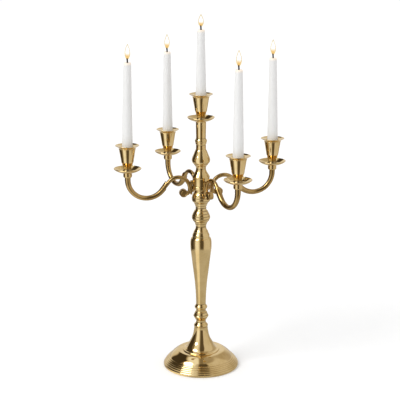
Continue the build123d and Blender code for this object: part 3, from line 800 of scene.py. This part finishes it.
@dataclass
class Base:
    """The turned base, in metres: reeded rim, domed wall, flat tread, ring and trumpet neck."""

    radius: float = 80.0 * MM
    rim_lift: float = 0.6 * MM
    rim_ease: Flat = (0.7 * MM, 0.8 * MM)
    reed_foot: Flat = (80.0 * MM, 3.6 * MM)
    reed_top: Flat = (66.5 * MM, 19.6 * MM)
    reed_crown: float = 0.9 * MM
    reed_count: int = 5
    reed_bulge: float = 0.75 * MM
    reed_points: int = 9
    wall: tuple[Flat, ...] = in_mm(
        (66.1, 20.0), (65.2, 21.6), (63.6, 23.8), (61.2, 26.4), (58.2, 29.0), (55.0, 31.4), (52.0, 33.4), (49.8, 34.5),
        (47.6, 34.9))
    tread: tuple[Flat, ...] = in_mm((40.0, 35.0), (39.5, 35.3), (39.3, 36.6), (38.9, 37.1), (38.2, 37.2))
    trumpet: tuple[Flat, ...] = in_mm(
        (36.6, 36.9), (34.0, 37.6), (31.6, 39.2), (29.6, 41.6), (28.0, 44.4), (26.4, 48.0), (24.3, 52.0), (21.6, 56.6),
        (19.0, 62.4), (17.0, 69.0), (15.6, 76.0), (14.7, 82.0), (14.3, 87.0))
    inside: tuple[Flat, ...] = in_mm(
        (3.3, 87.0), (3.3, 66.0), (13.2, 66.0), (16.0, 58.0), (19.5, 51.0), (23.6, 43.0), (26.0, 38.0), (31.0, 34.0),
        (47.0, 31.6), (57.0, 27.0), (62.0, 20.0), (63.0, 16.5), (73.6, 4.8), (73.6, 1.6), (77.0, 1.6), (77.0, 0.6))
    steps: int = 192
    finish: BrassFinish = field(default_factory=BrassFinish)

    def rim_point(self, share: float) -> Flat:
        """Point of the line that the reeds follow: 0 at the table and 1 at the wall."""
        crown = self.reed_crown * math.sin(math.pi * share)
        return tuple(foot + share * (top - foot) + crown for foot, top in zip(self.reed_foot, self.reed_top))

    def reeds(self) -> list[Flat]:
        """Draw the row of round reeds up the rim, with a sharp valley between each two.

        Returns:
            Its points, from the table up.
        """
        line: list[Flat] = []
        for k in range(self.reed_count):
            start, end = self.rim_point(k / self.reed_count), self.rim_point((k + 1) / self.reed_count)
            run = (end[0] - start[0], end[1] - start[1])
            length = math.hypot(*run)
            for share in (j / self.reed_points for j in range(self.reed_points)):
                bulge = 4 * self.reed_bulge * share * (1 - share)
                line.append((start[0] + share * run[0] + bulge * run[1] / length,
                             start[1] + share * run[1] - bulge * run[0] / length))
        return line

    def profile(self) -> list[Flat]:
        """Closed outline of the hollow casting, up its outside and down its inside.

        Returns:
            Its points.
        """
        inset, rise = self.rim_ease
        rim = [(self.radius - inset, self.rim_lift), (self.radius, self.rim_lift + rise)]
        return [*rim, *self.reeds(), self.reed_top, *smooth_line(self.wall), *self.tread, *smooth_line(self.trumpet),
                *self.inside]

    def build(self) -> None:
        """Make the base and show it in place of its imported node."""
        profile = self.profile()
        piece = new_piece("turned_base", rings(profile, self.steps), bands(len(profile), self.steps, closed=True))
        soften(piece, 30.0)
        low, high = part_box("base")
        material = self.finish.material("brass_turned_base", Work.SPUN, Vector(), low[2] - FAR, high[2])
        finish_piece(piece, material, "stand", "base")


@dataclass
class Arm:
    """One cast S-shaped arm, in metres: bend, calyx, arch, scroll with its button, lug and boss."""

    seat: Seat
    azimuth: float
    reach: float = 154.0 * MM
    arch: Flat = (49.0 * MM, -13.0 * MM)
    arch_radius: float = 25.3 * MM
    slope: float = 49.5
    bend_top_drop: float = 5.0 * MM
    upright_half: float = 6.0 * MM
    low_half: float = 5.15 * MM
    calyx_half: float = 6.5 * MM
    calyx_share: float = 0.55
    arch_half: float = 4.2 * MM
    scroll_half: float = 3.7 * MM
    scroll_radius: float = 10.0 * MM
    scroll_start: float = 185.0
    scroll_turn: float = 95.0
    button_offset: Flat = (3.8 * MM, -7.2 * MM)
    button_radius: float = 8.5 * MM
    button_width: float = 11.0 * MM
    lug_width: float = 9.0 * MM
    lug_thickness: float = 3.6 * MM
    lug_drop: float = 21.5 * MM
    lug_gap: float = 0.4 * MM
    screw_rise: float = 7.5 * MM
    boss_length: float = 2.4 * MM
    boss_sunk: float = 1.0 * MM
    edge_ease: float = 0.7 * MM
    calyx_lip: float = 0.8 * MM
    calyx_sunk: float = 1.4 * MM
    outer_facets: float = 0.012
    inner_facets: float = 0.01
    finish: BrassFinish = field(default_factory=lambda: BrassFinish(
        bright=(0.58, 0.40, 0.16), deep=(0.37, 0.24, 0.08), roughness=0.18, wear=0.12, line_depth=0.03 * MM))

    def __post_init__(self) -> None:
        """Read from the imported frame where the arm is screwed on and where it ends."""
        low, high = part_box("hub_collar")
        self.screw_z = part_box("arm_hub")[0][2] + self.screw_rise
        self.end_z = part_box("ferrule_1")[0][2]
        self.lug_back = (high[0] - low[0]) / 2 + self.lug_gap

    def places(self) -> tuple[Flat, Flat, Flat, Flat, float]:
        """Key points of the centre line.

        Returns:
            The arch's centre, where the run leaves it, the bend's centre, the run's foot and the bend's radius.
        """
        slope = math.radians(self.slope)
        normal = (math.sin(slope), math.cos(slope))
        arch = (self.arch[0], self.screw_z + self.arch[1])
        arch_foot = (arch[0] + self.arch_radius * normal[0], arch[1] + self.arch_radius * normal[1])
        bend_top = self.end_z - self.bend_top_drop
        across = (self.reach - arch_foot[0]) * normal[0] + (bend_top - arch_foot[1]) * normal[1]
        radius = across / (1 + normal[0])
        bend = (self.reach - radius, bend_top)
        bend_foot = (bend[0] - radius * normal[0], bend[1] - radius * normal[1])
        return arch, arch_foot, bend, bend_foot, radius

    def outer_line(self) -> tuple[list[tuple], float]:
        """Centre line of the thick outer rod.

        Returns:
            Its points with half thickness, and how far out the calyx is cut off.
        """
        _, arch_foot, bend, bend_foot, radius = self.places()
        low = -90.0 - self.slope
        line = [(self.reach, 0, self.end_z + 1.0 * MM, self.upright_half),
                (self.reach, 0, self.end_z - 2.5 * MM, self.upright_half)]
        steps = 44
        for k in range(steps + 1):
            share = k / steps
            s, z = on_circle(bend, radius, share * low)
            sag = math.sin(math.pi * min(1.0, share * low / -180 * 1.25))
            half = self.upright_half + (self.low_half - self.upright_half) * sag
            line.append((s, 0, z, half))
        run = (arch_foot[0] - bend_foot[0], arch_foot[1] - bend_foot[1])
        foot_half = line[-1][3]
        for k in range(1, 11):
            share = 0.95 * k / 10
            half = foot_half + (self.calyx_half - foot_half) * min(1.2, share / self.calyx_share) ** 1.5
            line.append((bend_foot[0] + share * run[0], 0, bend_foot[1] + share * run[1], half))
        return line, bend_foot[0] + self.calyx_share * run[0]

    def inner_line(self) -> list[tuple]:
        """Centre line of the thin rod that comes out of the calyx, over the arch and into the scroll.

        Returns:
            Its points with half thickness.
        """
        arch, arch_foot, _, bend_foot, _ = self.places()
        start = 90.0 - self.slope
        line = [(*mid, self.arch_half) for mid in (
            (bend_foot[0] + share * (arch_foot[0] - bend_foot[0]), 0,
             bend_foot[1] + share * (arch_foot[1] - bend_foot[1])) for share in (0.1, 0.4, 0.7, 0.9))]
        steps = 40
        for k in range(steps + 1):
            s, z = on_circle(arch, self.arch_radius, start + (self.scroll_start - start) * k / steps)
            line.append((s, 0, z, self.arch_half))
        middle = on_circle(arch, self.arch_radius - self.scroll_radius, self.scroll_start)
        for k in range(1, 25):
            share = k / 24
            s, z = on_circle(middle, self.scroll_radius, self.scroll_start + self.scroll_turn * share)
            line.append((s, 0, z, self.arch_half + (self.scroll_half - self.arch_half) * share))
        return line

    def calyx_cut(self, shape: Shape, cut: float) -> Shape:
        """Cut the outer rod off along an upright plane and sink the middle of the cut face.

        Args:
            shape: the rod's corners and faces.
            cut: how far out the plane stands.

        Returns:
            The new corners and faces.
        """
        piece = merged("calyx_draft", [shape])
        mesh = bmesh.new()
        mesh.from_mesh(piece.data)
        everything = mesh.verts[:] + mesh.edges[:] + mesh.faces[:]
        bmesh.ops.bisect_plane(mesh, geom=everything, plane_co=(cut, 0, 0), plane_no=(1, 0, 0), clear_inner=True)
        rim = [edge for edge in mesh.edges if edge.is_boundary]
        cap = bmesh.ops.edgeloop_fill(mesh, edges=rim)["faces"]
        bmesh.ops.recalc_face_normals(mesh, faces=mesh.faces)
        bmesh.ops.inset_region(mesh, faces=cap, thickness=self.calyx_lip, depth=0.0)
        bmesh.ops.translate(mesh, vec=(self.calyx_sunk, 0, 0), verts=list({v for face in cap for v in face.verts}))
        mesh.verts.index_update()
        points = [tuple(vert.co) for vert in mesh.verts]
        faces = [tuple(vert.index for vert in face.verts) for face in mesh.faces]
        mesh.free()
        bpy.data.objects.remove(piece)
        return points, faces

    def button(self) -> Shape:
        """Disc that ends the scroll, with a fine ring cut in each face.

        Returns:
            Its corners and faces.
        """
        half, edge = self.button_width / 2, self.button_radius
        face = [(0, -half), (0.62 * edge, -half), (0.68 * edge, 0.45 * MM - half), (0.74 * edge, -half),
                (edge - 0.9 * MM, -half), (edge - 0.25 * MM, 0.25 * MM - half), (edge, 0.9 * MM - half)]
        profile = face + [(radius, -z) for radius, z in reversed(face)]
        points, faces = turned(profile, 56)
        arch = self.places()[0]
        scroll = on_circle(arch, self.arch_radius - self.scroll_radius, self.scroll_start)
        place = Matrix.Translation((scroll[0] + self.button_offset[0], 0, scroll[1] + self.button_offset[1]))
        place = place @ Matrix.Rotation(math.pi / 2, 4, "X")
        return [tuple(place @ Vector(point)) for point in points], faces

    def lug(self) -> Shape:
        """Flat strip with round ends that lies on the hub, its edges eased.

        Returns:
            Its corners and faces.
        """
        radius, back, front = self.lug_width / 2, self.lug_back, self.lug_back + self.lug_thickness
        points, steps, ease = [], 18, self.edge_ease
        for s, inset in ((back, ease), (back + ease, 0.0), (front - ease, 0.0), (front, ease)):
            for middle, first in ((self.screw_z, 0.0), (self.screw_z - self.lug_drop, 180.0)):
                for k in range(steps + 1):
                    y, z = on_circle((0.0, middle), radius - inset, first + 180.0 * k / steps)
                    points.append((s, y, z))
        ring = 2 * (steps + 1)
        return points, [tuple(reversed(range(ring))), tuple(range(3 * ring, 4 * ring)), *bands(4, ring)]

    def boss(self) -> Shape:
        """Short round foot between the lug and the hub.

        Returns:
            Its corners and faces.
        """
        radius = self.lug_width / 2
        length = self.boss_length + self.boss_sunk
        profile = [(0, 0), (radius, 0), (radius, length), (0, length)]
        points, faces = turned(profile, 40)
        place = Matrix.Translation((self.lug_back - self.boss_length, 0, self.screw_z))
        place = place @ Matrix.Rotation(math.pi / 2, 4, "Y")
        return [tuple(place @ Vector(point)) for point in points], faces

    def build(self, tree: RodTree) -> None:
        """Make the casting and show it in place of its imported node.

        Args:
            tree: the shared geometry tree that sweeps the rods.
        """
        node = "arm_" + self.seat.value
        low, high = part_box(node)
        material = self.finish.material("brass_" + node, Work.CAST, Vector(), low[2] - FAR, high[2] + FAR)
        line, cut = self.outer_line()
        outer = self.calyx_cut(tree.sweep(line, material, sides=40, depth=self.outer_facets), cut)
        inner = tree.sweep(self.inner_line(), material, depth=self.inner_facets)
        piece = merged("casting_" + node, [outer, inner, self.button(), self.lug(), self.boss()])
        piece.data.transform(Matrix.Rotation(math.radians(self.azimuth), 4, "Z"))
        soften(piece, 32.0)
        finish_piece(piece, material, "stand", node)


@dataclass
class LightHolder:
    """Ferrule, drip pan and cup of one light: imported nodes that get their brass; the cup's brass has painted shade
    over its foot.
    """

    seat: Seat
    polished: BrassFinish = field(default_factory=lambda: BrassFinish(joint_and_shade_width=0.6 * MM))
    # The cup's wide dark band is painted shade, darkest at the cup's foot and fading out over 15 mm.
    cup: BrassFinish = field(default_factory=lambda: BrassFinish(joint_and_shade_width=15.0 * MM))
    satin: BrassFinish = field(default_factory=lambda: BrassFinish(bright=(0.76, 0.54, 0.24), roughness=0.16))

    def dress(self) -> None:
        """Give the nodes their materials."""
        finishes = {"drip_pan_": self.polished, "candle_cup_": self.cup}
        if self.seat is not Seat.MIDDLE:
            finishes["ferrule_"] = self.satin
        for stem, finish in finishes.items():
            name = stem + self.seat.value
            low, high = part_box(name)
            axis = Vector(((low[0] + high[0]) / 2, (low[1] + high[1]) / 2, 0))
            dress_node(name, finish.material("brass_" + name, Work.SPUN, axis, low[2], high[2] + FAR))


@dataclass
class Candle:
    """One lit candle, in metres: the wax with its melted top, the braided wick and the flame."""

    seat: Seat
    lean: Flat = (0.0, 0.0)
    flame_height: float = 32.4 * MM
    flame_lift: float = 5.4 * MM
    flame_half: float = 5.6 * MM
    skin_gap: float = 1.5 * MM
    body_lift: float = 3.0 * MM
    foot_half: float = 11.1 * MM
    top_half: float = 7.4 * MM
    foot_length: float = 26.0 * MM
    worn_length: float = 6.0 * MM
    pool_depth: float = 1.9 * MM
    middle_flame_height: float = 26.0 * MM
    wick_half: float = 0.95 * MM
    wick_stand: float = 9.0 * MM
    wick_sunk: float = 6.0 * MM
    wick_curl: float = 2.6 * MM
    strand_place: float = 0.7 * MM
    strand_turns: float = 2.6
    wick_steps: int = 40
    unevenness: float = 0.0015
    rim_unevenness: float = 0.004
    rim_dip: float = 0.15 * MM
    wax: WaxFinish = field(default_factory=WaxFinish)
    braid: WickFinish = field(default_factory=WickFinish)
    fire: FlameFinish = field(default_factory=FlameFinish)

    def __post_init__(self) -> None:
        """Read the candle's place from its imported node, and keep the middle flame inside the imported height."""
        low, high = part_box("candle_" + self.seat.value)
        self.axis = Vector(((low[0] + high[0]) / 2, (low[1] + high[1]) / 2, low[2]))
        self.length = high[2] - low[2]
        self.top = high[2]
        self.phase = 1.7 * len(self.seat.value) + 0.9 * ord(self.seat.value[0])
        self.body = "lit_candle_" + self.seat.value
        if self.seat is Seat.MIDDLE:
            self.flame_height = self.middle_flame_height

    def placed(self, points: np.ndarray) -> np.ndarray:
        """Move corners that are drawn on the Z axis to the candle's place.

        Args:
            points: the corners, with the candle's foot at z = 0.

        Returns:
            The corners in the shared frame, with the candle's slight lean.
        """
        points = np.array(points, float)
        share = np.clip(points[:, 2] / self.length, 0.0, 1.2) ** 1.3
        points[:, 0] += self.lean[0] * share
        points[:, 1] += self.lean[1] * share
        return points + np.array(self.axis)

    def worn(self, points: np.ndarray) -> np.ndarray:
        """Make the wax a little uneven, most of all at its melted rim.

        Args:
            points: the corners, on the Z axis with the foot at z = 0.

        Returns:
            The same corners, moved.
        """
        turn = np.arctan2(points[:, 1], points[:, 0])
        reach = np.hypot(points[:, 0], points[:, 1])
        swell = 1 + self.unevenness * np.sin(2 * turn + 31 * points[:, 2] + self.phase)
        near_top = np.clip((points[:, 2] - self.length + self.worn_length) / self.worn_length, 0, 1)
        points[:, :2] *= (swell - self.rim_unevenness * near_top * np.cos(3 * turn + self.phase))[:, None]
        lip = np.clip(reach / self.top_half, 0, 1) * near_top
        points[:, 2] += self.rim_dip * lip * (np.sin(2 * turn + self.phase) - 1)
        return points

    def build_wax(self) -> None:
        """Make the candle with a shallow pool of melted wax in its top."""
        length, top = self.length, self.top_half
        taper = [(self.foot_half + (top + 0.25 * MM - self.foot_half) * k / 30,
                  self.foot_length + (length - self.worn_length - self.foot_length) * k / 30) for k in range(31)]
        profile = [(0, 0), (self.foot_half - 0.6 * MM, 0), (self.foot_half, 0.6 * MM), *taper,
                   (top + 0.1 * MM, length - 2.4 * MM), (top, length - 1.0 * MM),
                   (top - 0.25 * MM, length - 0.3 * MM), (top - 0.8 * MM, length - 0.05 * MM),
                   (top - 1.8 * MM, length - 0.15 * MM), (top - 3.0 * MM, length - 0.9 * MM),
                   (top - 4.2 * MM, length - 1.6 * MM), (1.5 * MM, length - self.pool_depth),
                   (0, length - self.pool_depth)]
        points, faces = turned(profile, 72, self.worn)
        node = "candle_" + self.seat.value
        piece = new_piece("wax_" + node, self.placed(points), faces)
        soften(piece, 50.0)
        finish_piece(piece, self.wax.material("wax_" + node, self.top), self.body, node)

    def wick_line(self) -> list[Vector]:
        """Centre line of the wick where it stands out of the wax, curling over at its end.

        Returns:
            Its points.
        """
        line = []
        for share in (k / self.wick_steps for k in range(self.wick_steps + 1)):
            curl = max(0.0, share - 0.45) ** 2 * self.wick_curl
            height = self.length - self.wick_sunk + (self.wick_stand + self.wick_sunk) * share
            line.append(Vector((-curl, 0.3 * curl, height)))
        return line

    def build_wick(self, tree: RodTree) -> None:
        """Make the braided wick of three strands round a core.

        Args:
            tree: the shared geometry tree that sweeps the strands.
        """
        node = "wick_" + self.seat.value
        material = self.braid.material("braid_" + node, self.top - self.pool_depth, self.top + self.wick_stand)
        centre = self.wick_line()
        core = [(0, 0, 1.0 * MM, 0.7 * MM)] + [(*point, 0.5 * MM) for point in centre[:-1]]
        shapes = [tree.sweep(core, material, sides=12)]
        for strand in range(3):
            line = []
            for k, point in enumerate(centre):
                turn = math.tau * (strand / 3 + self.strand_turns * k / self.wick_steps)
                half = self.wick_half * min(1.0, 1.0 - 0.14 * (k - self.wick_steps + 5))
                x, y = on_circle((point.x, point.y), self.strand_place, math.degrees(turn))
                line.append((x, y, point.z, half))
            shapes.append(tree.sweep(line, material, sides=12))
        piece = merged("braid_" + node, [(self.placed(points), faces) for points, faces in shapes])
        soften(piece, 60.0)
        finish_piece(piece, material, self.body, node)

    def teardrop(self, half: float, low: float, high: float) -> Shape:
        """Flame shape between two heights.

        Args:
            half: its largest half width.
            low: height of its round foot above the candle's foot.
            high: height of its tip.

        Returns:
            Its corners and faces, drawn on the Z axis.
        """
        steps = 36
        sides = [(half * math.sin(math.pi * (k / steps) ** 0.75) ** 0.92, low + (high - low) * k / steps)
                 for k in range(1, steps)]
        return turned([(0.0, low), *sides, (0.0, high)], 40)

    def build_flame(self) -> None:
        """Make the flame: a clear skin with a bright body inside it."""
        low = self.length + self.flame_lift
        high = low + self.flame_height
        lift = self.axis.z
        name = "flame_" + self.seat.value
        inner_low, inner_high = low + self.body_lift, high - 2.2 * self.skin_gap
        shapes = (
            (name + "_skin", self.flame_half, low, high, self.fire.skin),
            (name + "_body", self.flame_half - self.skin_gap, inner_low, inner_high, self.fire.body),
        )
        for label, half, foot, tip, finish in shapes:
            points, faces = self.teardrop(half, foot, tip)
            piece = new_piece(label, self.placed(points), faces)
            soften(piece, 60.0)
            piece.visible_shadow = False
            finish_piece(piece, finish(label, foot + lift, tip + lift), self.body)


@dataclass(frozen=True)
class Card:
    """One upright card or softbox round the stand, by compass degrees from the front."""

    middle: float
    half: float
    softness: float
    level: float
    bottom: float = -0.35
    top: float = 0.87


@dataclass(frozen=True)
class Ceiling:
    """One strip of the ceiling over the stand, from side to side."""

    middle: float
    half: float
    level: float


@dataclass
class Studio:
    """Floor, mirrored table, soft surroundings, lamp and camera.

    Lengths are in metres and angles in degrees. A compass is 0 at the front and positive to the right. Levels are
    brightness, and the edges and blurs of the surroundings are heights on the unit sphere.
    """

    floor_radius: float = 6.0
    floor_glow: float = 0.04
    floor_albedo: float = 0.95
    table_radius: float = 0.64
    table_drop: float = 0.5 * MM
    table_level: float = 0.54
    table_tint: Colour = (1.04, 1.0, 0.94)
    sheen_level: float = 0.98
    sheen_compass: float = -43.0
    sheen_half: Flat = (14.0, 30.0)
    between_cards: float = 0.66
    under: float = 0.56
    under_edge: Flat = (-0.50, -0.62)
    fill: float = 0.785
    camera_white: float = 1.02
    tint_power: float = 0.7
    warm: Colour = (1.30, 1.0, 0.60)
    cool: Colour = (0.97, 1.0, 1.08)
    cards: tuple[Card, ...] = (
        Card(-168.0, 30.0, 12.0, 0.80, -0.55, 0.50),
        Card(132.0, 20.0, 8.0, 0.46),
        Card(-78.0, 15.0, 7.0, 0.22, -0.50, 0.62),
        Card(-111.0, 27.0, 5.0, 0.05, -0.50),
        Card(-142.0, 30.0, 6.0, 0.05, 0.50),
        Card(10.0, 21.0, 6.0, 0.09, -0.62, 0.90),
        Card(-43.0, 19.0, 5.0, 1.12, -0.75, 0.95),
    )
    card_top_blur: float = 0.05
    card_foot_blur: float = 0.07
    ceiling_edge: Flat = (0.82, 0.92)
    ceiling_depth: float = 1.45
    ceiling_blur: float = 0.07
    ceiling_level: float = 0.38
    ceiling: tuple[Ceiling, ...] = (
        Ceiling(-0.55, 0.36, 1.05),
        Ceiling(0.06, 0.14, 0.22),
    )
    lamp_compass: float = -58.0
    lamp_height: float = 44.0
    lamp_spread: float = 30.0
    lamp_power: float = 1.35
    camera_place: tuple[float, float, float] = (0.0, -2.3304, 0.9651)
    camera_tilt: float = 75.56
    camera_lens: float = 103.96
    camera_shift: float = -0.0024

    def build_floor(self) -> None:
        """Make the round pale floor, which the brass doesn't mirror."""
        floor = disc("floor", self.floor_radius, 0.0)
        pad = MaterialPad("floor_paper")
        grain = pad.noise(pad.place, 30.0, 2.0)
        shade = (self.floor_albedo,) * 3
        floor.data.materials.append(pad.surface(
            Base_Color=pad.between(grain, shade, tuple(0.985 * part for part in shade)),
            Roughness=1.0,
            Specular_IOR_Level=0.0,
            Emission_Color=(1.0, 1.0, 1.0, 1.0),
            Emission_Strength=self.floor_glow,
        ))
        floor.visible_glossy = False

    def build_table(self) -> None:
        """Make the near part of the table as the brass mirrors it, with the key card's pale sheen on it."""
        table = disc("mirrored_table", self.table_radius, -self.table_drop)
        pad = MaterialPad("table_sheen")
        off = pad.maths("ABSOLUTE", pad.maths("SUBTRACT", pad.compass(pad.x, pad.y), self.sheen_compass))
        level = pad.towards(pad.rise(off, self.sheen_half[1], self.sheen_half[0]), self.table_level, self.sheen_level)
        light = pad.add("ShaderNodeEmission", {"Strength": level, "Color": (*self.table_tint, 1.0)})
        table.data.materials.append(pad.close(light))
        table.visible_camera = table.visible_diffuse = table.visible_shadow = False

    def build_surroundings(self) -> None:
        """Make the soft surroundings that light the brass, and plain white for the camera."""
        world = bpy.data.worlds.new("surroundings")
        world.use_nodes = True
        bpy.context.scene.world = world
        pad = NodePad(world.node_tree)
        pad.tree.nodes.clear()
        x, y, z = pad.add("ShaderNodeSeparateXYZ", {0: pad.add("ShaderNodeTexCoord").outputs["Generated"]}).outputs
        compass = pad.compass(x, y)
        level = pad.towards(pad.rise(z, *self.under_edge), self.between_cards, self.under)
        for card in self.cards:
            turn = pad.maths("FLOORED_MODULO", pad.maths("ADD", compass, 540.0 - card.middle), 360.0)
            off = pad.maths("ABSOLUTE", pad.maths("SUBTRACT", turn, 180.0))
            sides = pad.rise(off, card.half + card.softness, card.half - card.softness)
            top = pad.rise(z, card.top + self.card_top_blur, card.top - self.card_top_blur)
            foot = pad.rise(z, card.bottom - self.card_foot_blur, card.bottom + self.card_foot_blur)
            level = pad.towards(pad.maths("MULTIPLY", pad.maths("MULTIPLY", sides, top), foot), level, card.level)
        across = pad.maths("DIVIDE", x, pad.maths("SUBTRACT", self.ceiling_depth, z))
        above: Value = self.ceiling_level
        for strip in self.ceiling:
            off = pad.maths("ABSOLUTE", pad.maths("SUBTRACT", across, strip.middle))
            mask = pad.rise(off, strip.half + self.ceiling_blur, strip.half - self.ceiling_blur)
            above = pad.towards(mask, above, strip.level)
        level = pad.towards(pad.rise(z, *self.ceiling_edge), level, above)
        shade = pad.maths("MINIMUM", pad.maths("POWER", level, self.tint_power), 1.0)
        tint = pad.between(shade, self.warm, self.cool)
        path = pad.add("ShaderNodeLightPath").outputs
        for kind, plain in (("Is Diffuse Ray", self.fill), ("Is Camera Ray", self.camera_white)):
            level = pad.towards(path[kind], level, plain)
            tint = pad.between(path[kind], tint, (1.0, 1.0, 1.0))
        light = pad.add("ShaderNodeBackground", {"Strength": level, "Color": tint})
        pad.add("ShaderNodeOutputWorld", {"Surface": light.outputs[0]})

    def build_lamp(self) -> None:
        """Make the large soft lamp at the front left, which throws the pale shadow."""
        data = bpy.data.lights.new("lamp", "SUN")
        data.energy = self.lamp_power
        data.angle = math.radians(self.lamp_spread)
        lamp = bpy.data.objects.new("lamp", data)
        lamp.rotation_euler = (math.radians(90.0 - self.lamp_height), 0.0, math.radians(self.lamp_compass))
        bpy.context.scene.collection.objects.link(lamp)

    def build_camera(self) -> None:
        """Make the camera, a little above the cups and looking down on the stand."""
        data = bpy.data.cameras.new("camera")
        data.sensor_width = 36.0
        data.lens = self.camera_lens
        data.shift_x = self.camera_shift
        data.clip_end = 60.0
        camera = bpy.data.objects.new("camera", data)
        camera.location = self.camera_place
        camera.rotation_euler = (math.radians(self.camera_tilt), 0.0, 0.0)
        bpy.context.scene.collection.objects.link(camera)
        bpy.context.scene.camera = camera
        bpy.context.scene.view_settings.view_transform = "Standard"

    def build(self) -> None:
        """Make the whole studio."""
        self.build_floor()
        self.build_table()
        self.build_surroundings()
        self.build_lamp()
        self.build_camera()


def main() -> None:
    """Build the whole candelabra's looks, sub-assembly by sub-assembly."""
    logging.basicConfig(level=logging.INFO, format="%(message)s")
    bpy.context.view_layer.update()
    LOG.info("packed frame: %d nodes", len(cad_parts))
    Stem().dress()
    Base().build()

    tree = RodTree()
    for seat, azimuth in ARM_AZIMUTHS.items():
        Arm(seat, azimuth).build(tree)
    for seat in Seat:
        LightHolder(seat).dress()
        candle = Candle(seat, CANDLE_LEANS.get(seat, (0.0, 0.0)))
        candle.build_wax()
        candle.build_wick(tree)
        candle.build_flame()

    Studio().build()


if __name__ == "__main__":
    main()
